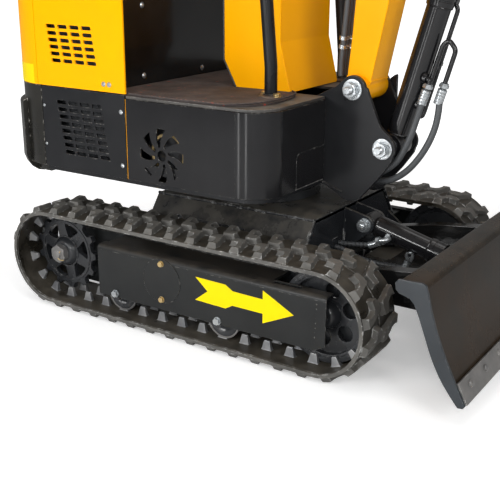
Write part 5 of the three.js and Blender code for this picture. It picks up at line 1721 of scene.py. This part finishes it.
matRubber = newMaterial("floor mat", {
    "colour": (0.042, 0.034, 0.033), "second": (0.062, 0.050, 0.047), "rough": 0.78, "specular": 0.25,
    "grain": (500.0, 0.6), "grainDepth": 0.0008, "patchScale": 9.0, "dust": ((0.20, 0.16, 0.14), 0.5),
    "specks": ((0.30, 0.05, 0.03), 38.0),
})
matStitch = newMaterial("mat stitching", {"colour": (0.42, 0.16, 0.12), "rough": 0.7})
deckPaint = newMaterial("deck paint", {
    "colour": (0.034, 0.032, 0.030), "second": (0.085, 0.078, 0.070), "rough": 0.5, "grain": (240.0, 0.3),
    "dust": ((0.22, 0.20, 0.17), 0.7), "wear": ((0.36, 0.34, 0.31), 0.9), "wearWidth": 0.003,
})
counterweightPaint = newMaterial("counterweight paint", {
    "colour": (0.009, 0.0085, 0.007), "second": (0.016, 0.015, 0.012), "rough": 0.34, "roughSpread": 0.08,
    "specular": 0.3, "grain": (200.0, 0.2), "dust": (dusty, 0.4), "wear": ((0.42, 0.40, 0.36), 1.0),
    "wearWidth": 0.004, "breakup": 60.0,
})
rustyFlange = newMaterial("post flange", {
    "colour": (0.10, 0.075, 0.058), "second": (0.17, 0.12, 0.09), "rough": 0.55, "metal": 0.3,
    "grain": (300.0, 0.3), "patchScale": 40.0,
})
buildTurntable()
buildPins()
buildSkirts()
buildSidePanels()
buildCounterweight()
buildHood()
buildRearDoor()
buildEngine()
buildFloor()
buildMat()
buildSeatBox()
buildConsole()
buildLevers()
buildPosts()
buildRoof()
print("house built")


# The seat is blown up by a cloth simulation and then sewn.
seatSize = {
    "cushion": {"x": (-500, -215), "y": 225, "z": (925.6, 1017), "corner": 50},
    "back": {"y": 215, "foot": 1017.6},
    "voxel": 0.005, "pressure": 4.0, "clothFrames": 20, "cap": 0.012, "channels": (-78, 78),
    "channelDepth": 5.5,
}


def baked(thing):  # applies a thing's modifiers to its mesh
    graph = bpy.context.evaluated_depsgraph_get()
    mesh = bpy.data.meshes.new_from_object(thing.evaluated_get(graph))
    thing.modifiers.clear()
    thing.data = mesh


def coordinates(thing):
    flat = np.empty(len(thing.data.vertices) * 3)
    thing.data.vertices.foreach_get("co", flat)
    return flat.reshape(-1, 3)


def puffed(shape):  # the padded form of a closed shape, in the same units
    mesh = bpy.data.meshes.new("padding")
    mesh.from_pydata([tuple(machineSpace @ Vector(p)) for p in shape[0]], [], shape[1])
    work = bpy.data.objects.new("padding", mesh)
    bpy.context.scene.collection.objects.link(work)
    remesh = work.modifiers.new("remesh", "REMESH")
    remesh.mode = "VOXEL"
    remesh.voxel_size = seatSize["voxel"]
    baked(work)
    start = coordinates(work)
    cloth = work.modifiers.new("cloth", "CLOTH")
    cloth.settings.use_pressure = True
    cloth.settings.uniform_pressure_force = seatSize["pressure"]
    cloth.settings.effector_weights.gravity = 0
    for frameNumber in range(1, seatSize["clothFrames"] + 1):
        bpy.context.scene.frame_set(frameNumber)
    baked(work)
    bpy.context.scene.frame_set(1)
    shift = coordinates(work) - start
    size = np.linalg.norm(shift, axis=1, keepdims=True)
    shift *= np.minimum(1, seatSize["cap"] / np.maximum(size, 1e-9))
    work.data.vertices.foreach_set("co", (start + shift).ravel())
    smooth = work.modifiers.new("smooth", "SMOOTH")
    smooth.factor = 0.5
    smooth.iterations = 6
    finer = work.modifiers.new("finer", "SUBSURF")
    finer.levels = 1
    baked(work)
    points = coordinates(work) * 1000 - np.array((slewX * 1000, 0, 0))
    faces = [tuple(polygon.vertices) for polygon in work.data.polygons]
    bpy.data.objects.remove(work)
    return points, faces


def sewn(points, across, top):  # presses the sewn channels into the faces that are sat on
    depth = np.zeros(len(points))
    for middle in seatSize["channels"]:
        depth += np.exp(-((points[:, 1] - middle) / 7) ** 2)
    return points - np.outer(depth * top * seatSize["channelDepth"], across)


def onSurface(points, line):  # lays a line on the nearest points of a form
    result = []
    for spot in line:
        gaps = np.linalg.norm(points - np.array(tuple(spot)), axis=1)
        near = points[np.argsort(gaps)[:6]]
        result.append(Vector(near.mean(axis=0)))
    return flow(result[::2] + result[-1:], 6)


def cushionLoop(inward, z):
    c = seatSize["cushion"]
    plan = roundedPlan(c["x"][0] + inward, c["x"][1] - inward, c["y"] - inward, c["corner"], 8)
    return [(a, b, z) for a, b in plan]


def buildCushion():
    c = seatSize["cushion"]
    low, high = c["z"]
    loops = [cushionLoop(inward, z) for inward, z in (
        (18, low + 2), (8, low + 8), (7, low + 24), (8, high - 34), (14, high - 18), (30, high - 9),
        (70, high - 5))]
    points, faces = puffed(lofted(loops))
    top = np.clip((points[:, 2] - (high - 26)) / 14, 0, 1)
    points = sewn(points, (0, 0, 1), top)
    points[:, 2] = np.clip(points[:, 2], low, high + 6)
    edge = cushionLoop(9, high - 26)
    seam = onSurface(points, [Vector(p) for p in [*edge, edge[0]]])
    ties = [pipe(onSurface(points, [Vector((x, y, high)) for x in range(-470, -236, 12)]), 1.2, 6)
            for y in seatSize["channels"]]
    piece = newPiece("seatCushion", "house",
                     [((list(map(tuple, points)), faces), seatVinyl),
                      (joined(pipe(seam, 3.4, 10), *ties), gripPlastic)],
                     replaced=["seat_cushion"], sharp=120)


def buildBackrest():
    half, foot = seatSize["back"]["y"], seatSize["back"]["foot"]
    profile = filleted([(-474, foot + 3), (-428, foot + 3), (-446, 1120), (-468, 1286), (-479, 1308),
                        (-500, 1312), (-513, 1300), (-514, 1270), (-490, 1120)], 10, 3)
    loops = []
    for y, inward in ((-half + 8, 14), (-half + 12, 6), (-half + 22, 0), (half - 22, 0), (half - 12, 6),
                      (half - 8, 14)):
        loop = inset(profile if area(profile) > 0 else profile[::-1], inward)
        loops.append([(a, y, b) for a, b in loop])
    points, faces = puffed(lofted(loops, (0, 2)))
    lean = np.array((0.985, 0, 0.17))
    front = np.clip((points @ lean - (-478 * 0.985 + 1170 * 0.17) + 8) / 12, 0, 1)
    points = sewn(points, tuple(lean), front)
    points[:, 2] = np.maximum(points[:, 2], foot)
    rim = [(y, z) for y, z in filleted(rectangle(-half + 10, half - 10, 1024, 1302), 40, 6)]
    line = [Vector((-432 - (z - 1024) * 0.155, y, z)) for y, z in [*rim, rim[0]]]
    seam = onSurface(points, line)
    piece = newPiece("seatBackrest", "house",
                     [((list(map(tuple, points)), faces), seatVinyl), (pipe(seam, 3.2, 10), gripPlastic)],
                     replaced=["seat_backrest"], sharp=120)


buildCushion()
buildBackrest()
print("seat built")


def boomLine(*places):
    return [boomPoint(*place) for place in places]


def buildBoom():
    w, cheek = boomSize["half"], boomSize["cheek"]
    upper = boomSize["upper"]
    front = [*boomLine(("lower", 24, 36), ("lower", 130, 42), ("lower", 430, 59)),
             *curve(boomLine(("lower", 470, 63), ("lower", 560, 76), ("upper", 30, 78), ("upper", 110, 66)),
                    14),
             *boomLine(("upper", upper - 200, 48), ("upper", upper - 215, -46))]
    rear = [*boomLine(("upper", 90, -66)),
            *curve(boomLine(("upper", 60, -66), ("upper", -60, -60), ("lower", 490, -66),
                            ("lower", 420, -62)), 14),
            *boomLine(("lower", 130, -40), ("lower", 20, -35))]
    foot = filleted(boomLine(("lower", 24, -35), ("lower", -24, -22), ("lower", -24, 22), ("lower", 24, 36)),
                    10, 3, False)
    outline = [*front, *rear, *foot[1:-1]]
    shapes = [slab(outline, -w + 0.5, w - 0.5, edge=2.4, rings=3)]
    shapes.append(aimed(ring(37.5, 18.5, -66.4, 66.4, 2.5, 56), atDepth(boomPivot, 0)))
    for y in (-w, w - cheek):
        tip = [*boomLine(("upper", upper - 330, 52), ("upper", upper - 60, 40)),
               *arc(*armPin, 42, -40, 120, 16), *boomLine(("upper", upper - 60, -40),
                                                          ("upper", upper - 330, -50))]
        shapes.append(slab(tip, y, y + cheek, [circle(*armPin, 16)], edge=1.6))
        rodLug = filleted(boomLine(("upper", 20, 60), ("upper", 100, 152), ("upper", 126, 182),
                                   ("upper", 174, 182), ("upper", 204, 150), ("upper", 300, 55)), 26, 6)
        shapes.append(slab(rodLug, y, y + cheek, edge=1.6))
        armLug = filleted(boomLine(("upper", -110, -40), ("upper", -52, -140), ("upper", -26, -158),
                                   ("upper", 8, -158), ("upper", 26, -136), ("upper", 100, -50)), 20, 6)
        shapes.append(slab(armLug, y, y + cheek, edge=1.6))
        outside = y - 0.4 if y < 0 else w + 0.4
        for first, last in ((("upper", 24, 64), ("upper", 296, 57)), (("upper", -104, -48),
                                                                      ("upper", 94, -58))):
            a, b = boomPoint(*first), boomPoint(*last)
            shapes.append(weld([(a[0], outside, a[1]), (b[0], outside, b[1])], 3, seed=61))
    seam = boomPoint("lower", 26, 36)
    other = boomPoint("lower", 26, -35)
    shapes.append(weld([(seam[0], y, seam[1]) for y in range(-54, 55, 6)], 2.4, seed=62))
    shapes.append(weld([(other[0], y, other[1]) for y in range(-54, 55, 6)], 2.4, seed=63))
    pins, heads = [], []
    for place, radius, low in ((("upper", -10, -128), 15, 20), (("upper", 150, 150), 17.3, 40)):
        x, z = boomPoint(*place)
        pins += stubs(radius, low, w + 6, (x, 0, z))
        for face in (-1, 1):
            heads.append(aimed(bolt(13), (x, face * w, z), (0, face, 0)))
    pipes, clamps = [], []
    for y in (-30, -6, 18):
        run = boomLine(("lower", 18, -66), ("lower", 60, -72), ("lower", 470, -96), ("upper", -150, -92))
        pipes.append(pipe(bent([(x, y, z) for x, z in run], 60), 8.3 if y == -30 else 6, 18))
    for along in (96, 120, 300, 440):
        across = -74 - (along - 60) * 24 / 410
        a, b = boomPoint("lower", along - 5, across), boomPoint("lower", along + 5, across)
        for y in (-30, -6, 18):
            clamps.append(pipe([(a[0], y, a[1]), (b[0], y, b[1])], 10.5 if y == -30 else 8, 20))
        left, right = boomPoint("lower", along, across + 3), boomPoint("lower", along, -44 - along * 0.045)
        clamps.append(pipe([(left[0], -12, left[1]), (right[0], -12, right[1])], 4, 10))
    endX, endZ = boomPoint("upper", -150, -86)
    ports = [aimed(hexagon(20, 0, 12), (endX, y, endZ)) for y in (-6, 18)]
    bush = aimed(ring(21, 16.2, -67, 67, 0.8), atDepth(boomPivot, 0))
    newPiece("boomPiece", "boom",
             [(joined(*shapes), yellowPaint), (joined(*pins, *heads, *clamps, *ports, bush), zincPlate),
              (joined(*pipes), hoseRubber)], replaced=["boom"])


# The arm, in its own frame, hangs along -z from the pin at the boom's tip.
def buildArm():
    w, end = armSize["half"], -armSize["length"]
    outline = [*filleted([(-44, -40), (-40, -160), (-27, end + 60), (27, end + 60), (40, -160), (44, -40),
                          (34, 70), (-34, 70)], 10, 3)]
    shapes = [slab(outline, -w + 0.5, w - 0.5, edge=2.4, rings=3)]
    shapes.append(aimed(ring(30, 16, -42.6, 42.6, 2, 48), (0, 0, 0)))
    tip = [(-28, end + 70), (-30, end + 20), *arc(0, end, 31, 170, 370, 18), (30, end + 20), (28, end + 70)]
    shapes.append(slab(tip, -w, w, [circle(0, end, 15)], edge=2.4, rings=3))
    for y in (-30, 18):
        lever = [(-44, 0), (-30, 110), *arc(0, armSize["lever"], 26, 200, -20, 14), (30, 110), (44, 0)]
        shapes.append(slab(lever, y, y + 12, edge=1.6))
    for y in (-w, w - 10):
        lug = [(36, -10), (70, -40), *arc(86, -74, 24, 60, -80, 12), (70, -110), (36, -170)]
        shapes.append(slab(lug, y + 0.2, y + 9.8, edge=1.6))
    for x, top, bottom in ((-43, -46, -150), (43.5, -176, -640)):
        for face in (-1, 1):
            shapes.append(weld([(x, face * (w - 1), top), (x - (13 if x > 0 else -3), face * (w - 1),
                                                           bottom)], 2.4, seed=64))
    shapes.append(aimed(ring(22, 13, -w - 3, w + 3, 1.5, 44), atDepth(rockerPivot, 0)))
    pins = [aimed(rod(12, -w - 6, w + 6, 1.5), (86, 0, -74)), aimed(rod(14.6, -34, 34, 1.5),
                                                                    (0, 0, armSize["lever"]))]
    heads = [aimed(bolt(10), (86, face * w, -74), (0, face, 0)) for face in (-1, 1)]
    heads += [aimed(bolt(11), (0, face * 30, armSize["lever"]), (0, face, 0)) for face in (-1, 1)]
    pipes = [pipe([(-20 + k * 14, -w - 6, -130), (-20 + k * 14, -w - 6, -420)], 4.5, 14) for k in (0, 1)]
    clamps = [brick(-30, 4, -w - 12, -w + 1, z, z + 12, 1.5, 3) for z in (-150, -270, -390)]
    newPiece("armPiece", "arm",
             [(joined(*shapes), yellowPaint), (joined(*pins, *heads), zincPlate),
              (joined(*pipes), hoseRubber), (joined(*clamps), castBlack)], armSpace, replaced=["arm"])


def buildArmPins():
    for name, node, z, radius, half, head in (
        ("armPinPiece", "arm_pin", 0, 15, 55.3, 9), ("bucketPinPiece", "bucket_pin", -armSize["length"], 14,
                                                     76.3, 8),
    ):
        shapes = [aimed(rod(radius - 0.3, -half - head + 1, half + head - 1, 1.5, 40), (0, 0, z))]
        for face in (-1, 1):
            shapes.append(aimed(turned([(0, 0), (radius + 8, 0), (radius + 8, head - 2), (radius + 6, head),
                                        (0, head)], 44),
                                (0, face * half, z), (0, face, 0)))
            shapes.append(aimed(hexagon(14, 0, 5), (9, face * (half + head), z + 9), (0, face, 0)))
        newPiece(name, "arm", [(joined(*shapes), zincPlate)], armSpace, replaced=[node])


def buildRocker():
    reach = linkage["lever"]
    plate = [*arc(0, 0, 22, 90, 270, 14), *arc(reach, 0, 20, -90, 90, 14)]
    shapes = [slab(plate, y, y + 10, edge=1.6) for y in (-55, 45)]
    pins = [aimed(rod(11.8, -61, 61, 1.5), (0, 0, 0)), aimed(rod(12, -56, -28, 1.5), (reach, 0, 0)),
            aimed(rod(12, 28, 56, 1.5), (reach, 0, 0))]
    heads = [aimed(bolt(10), (x, face * 55, 0), (0, face, 0)) for x in (0, reach) for face in (-1, 1)]
    newPiece("bucketRocker", "bucket_rocker", [(joined(*shapes), castBlack),
                                                            (joined(*pins, *heads), zincPlate)],
             rockerSpace, replaced=["bucket_rocker"])


def buildLink():
    reach = linkage["spacing"]
    plate = [*arc(0, 0, 21, 0, 180, 14), *arc(0, -reach, 20, 180, 360, 14)]
    holes = [circle(0, 0, 13, 28), circle(0, -reach, 13, 28)]
    shapes = [slab(plate, y, y + 12, holes, edge=1.6) for y in (-44, 32)]
    shapes.append(slab(filleted(rectangle(-10, 10, 48 - reach, -52), 4, 3), -33, 33, edge=1.5))
    newPiece("bucketLink", "bucket_link", [(joined(*shapes), castBlack)], linkSpace,
             replaced=["bucket_link"])


# The bucket, in its own frame, hangs from its pin and opens towards the machine.
bucketSize = {"half": 200, "plate": 8, "toothAt": (-165, -55, 55, 165)}


def buildBucket():
    half, plate = bucketSize["half"], bucketSize["plate"]
    outer = [(-62, -38), (-22, -44), (60, -52), *curve([(100, -66), (126, -98), (132, -140), (124, -200),
                                                        (96, -262),
                                                         (48, -308), (-20, -340), (-100, -352)], 10), (-190,
                                                                                                       -350)]
    inner = [(-52, -47), (-20, -53), (56, -61), *curve([(94, -73), (117, -102), (122, -140), (115, -197),
                                                        (89, -255),
                                                         (43, -300), (-22, -331), (-100, -343)], 10), (-190,
                                                                                                       -341)]
    shell = slab([*outer, *inner[::-1]], -half + 0.8, half - 0.8, edge=1.2)
    black = [shell]
    for y in (-half, half - plate):
        black.append(slab(outer, y, y + plate, edge=1.5))
        strip = [(-62, -40), (-190, -349), (-206, -346), (-80, -42)]
        black.append(slab(filleted(strip, 4, 2), y + 0.4, y + plate - 0.4, edge=1.5))
    steel = [slab([(-214, -352), (-178, -354), (-168, -351), (-168, -341), (-178, -340), (-206, -341)], -half,
                  half, edge=1.2)]
    for y in bucketSize["toothAt"]:
        tooth = [(-176, -359), (-225, -356), (-262, -350), (-266, -347.5), (-262, -345), (-214, -335),
                 (-176, -335)]
        steel.append(slab(tooth, y - 19, y + 19, edge=3, rings=3))
        steel.append(slab([(-170, -362), (-214, -360), (-214, -334), (-170, -333)], y - 23, y + 23, edge=3))
    for y in (-76, 66):
        ear = [(-64, -44), *arc(0, 0, 32, 190, 90, 14), (40, 27), *arc(linkage["lever"], 0, 24, 80, -60, 14),
               (124, -90), (60, -56)]
        black.append(slab(ear, y, y + 10, [circle(0, 0, 15, 32)], edge=1.6))
        for face in (-0.6, 10.6):
            black.append(weld([(-58, y + face, -42), (60, y + face, -55), (118, y + face, -86)], 3, seed=71))
    wear = [slab([(x, -352.5 - 0.5) for x in (-150, -60)] + [(-60, -346), (-150, -346)], y - 10, y + 10,
                 edge=1)
            for y in (-120, 120)]
    pin = aimed(rod(12, -75, 75, 1.5), (linkage["lever"], 0, 0))
    heads = [aimed(bolt(10), (linkage["lever"], face * 76, 0), (0, face, 0)) for face in (-1, 1)]
    newPiece("bucketPiece", "bucket",
             [(joined(*black), bucketPaint), (joined(*steel, *wear), wornSteel),
              (joined(pin, *heads), zincPlate)],
             bucketSpace, replaced=["bucket"])


bucketPaint = newMaterial("bucket paint", {
    "colour": (0.028, 0.028, 0.028), "second": (0.05, 0.048, 0.044), "rough": 0.45, "roughSpread": 0.1,
    "grain": (240.0, 0.25), "dust": (dusty, 0.5), "wear": ((0.38, 0.37, 0.35), 1.0), "wearWidth": 0.004,
    "breakup": 50.0,
})
buildBoom()
buildArm()
buildArmPins()
buildRocker()
buildLink()
buildBucket()
print("boom, arm and bucket built")


stageSetup = {"floorHalf": 40.0, "floorGrey": 0.86, "fadeFrom": 0.9, "fadeTo": 3.2, "world": 0.27}
lamps = {
    "key": {"spot": (1.5, -5.0, 4.6), "target": (-0.4, 0, 0.6), "power": 26.0, "width": 3.0, "height": 2.2},
    "fill": {"spot": (4.4, -2.2, 3.0), "target": (0, 0, 0.7), "power": 112.0, "width": 2.5, "height": 2.5},
    "left": {"spot": (-5.0, -3.0, 3.4), "target": (-0.4, 0, 0.6), "power": 38.0, "width": 2.5, "height": 2.5},
    "top": {"spot": (-0.5, 0.8, 6.0), "target": (-0.4, 0, 0.5), "power": 80.0, "width": 4.0, "height": 4.0},
    "stripOne": {"spot": (1.9, -4.2, 1.9), "target": (-0.3, -0.3, 0.5), "power": 42.0, "width": 0.25,
                 "height": 2.4},
    "stripTwo": {"spot": (-1.4, -3.6, 1.3), "target": (0.05, 0, 0.25), "power": 42.0, "width": 1.6,
                 "height": 0.25},
    "glintOne": {"spot": (-0.8, -1.8, 0.62), "target": (-0.29, -0.4, 0.55), "power": 3.6, "width": 0.12,
                 "height": 1.2},
    "glintTwo": {"spot": (-0.1, -1.9, 0.62), "target": (-0.29, -0.4, 0.55), "power": 3.6, "width": 0.08,
                 "height": 1.2},
}


def layGround():
    mesh = bpy.data.meshes.new("floor")
    h = stageSetup["floorHalf"]
    mesh.from_pydata([(-h, -h, 0), (h, -h, 0), (h, h, 0), (-h, h, 0)], [], [(0, 1, 2, 3)])
    material = bpy.data.materials.new("pale floor")
    material.use_nodes = True
    tree = material.node_tree
    shader = tree.nodes["Principled BSDF"]
    shader.inputs["Base Color"].default_value = (*[stageSetup["floorGrey"]] * 3, 1)
    shader.inputs["Roughness"].default_value = 0.75
    shader.inputs["Specular IOR Level"].default_value = 0.2
    # the far floor fades to white
    place = addNode(tree, "TexCoord").outputs["Object"]
    away = addNode(tree, "VectorMath", [(0, place)], operation="LENGTH")
    fade = ranged(tree, away.outputs["Value"], stageSetup["fadeFrom"], stageSetup["fadeTo"], 0.36, 0.95)
    seen = addNode(tree, "LightPath").outputs["Is Camera Ray"]
    shader.inputs["Emission Color"].default_value = (1, 1, 1, 1)
    tree.links.new(maths(tree, "MULTIPLY", seen, fade), shader.inputs["Emission Strength"])
    mesh.materials.append(material)
    floor = bpy.data.objects.new("floor", mesh)
    bpy.context.scene.collection.objects.link(floor)


def buildWorld():
    world = bpy.data.worlds.new("studio")
    bpy.context.scene.world = world
    world.use_nodes = True
    tree = world.node_tree
    background = tree.nodes["Background"]
    path = addNode(tree, "LightPath")
    level = ranged(tree, path.outputs["Is Camera Ray"], 0, 1, stageSetup["world"], 1)
    tree.links.new(level, background.inputs["Strength"])
    background.inputs["Color"].default_value = (1, 1, 1, 1)


def addLamp(name, spot, target, power, width, height):
    data = bpy.data.lights.new(name, "AREA")
    data.shape = "RECTANGLE"
    data.size = width
    data.size_y = height
    data.energy = power
    lamp = bpy.data.objects.new(name, data)
    lamp.location = spot
    lamp.rotation_euler = (Vector(target) - Vector(spot)).to_track_quat("-Z", "Y").to_euler()
    lamp.visible_camera = False
    bpy.context.scene.collection.objects.link(lamp)


layGround()
buildWorld()
for name, settings in lamps.items():
    addLamp(name, **settings)
bpy.context.scene.view_settings.view_transform = "Standard"

print("scene ready")
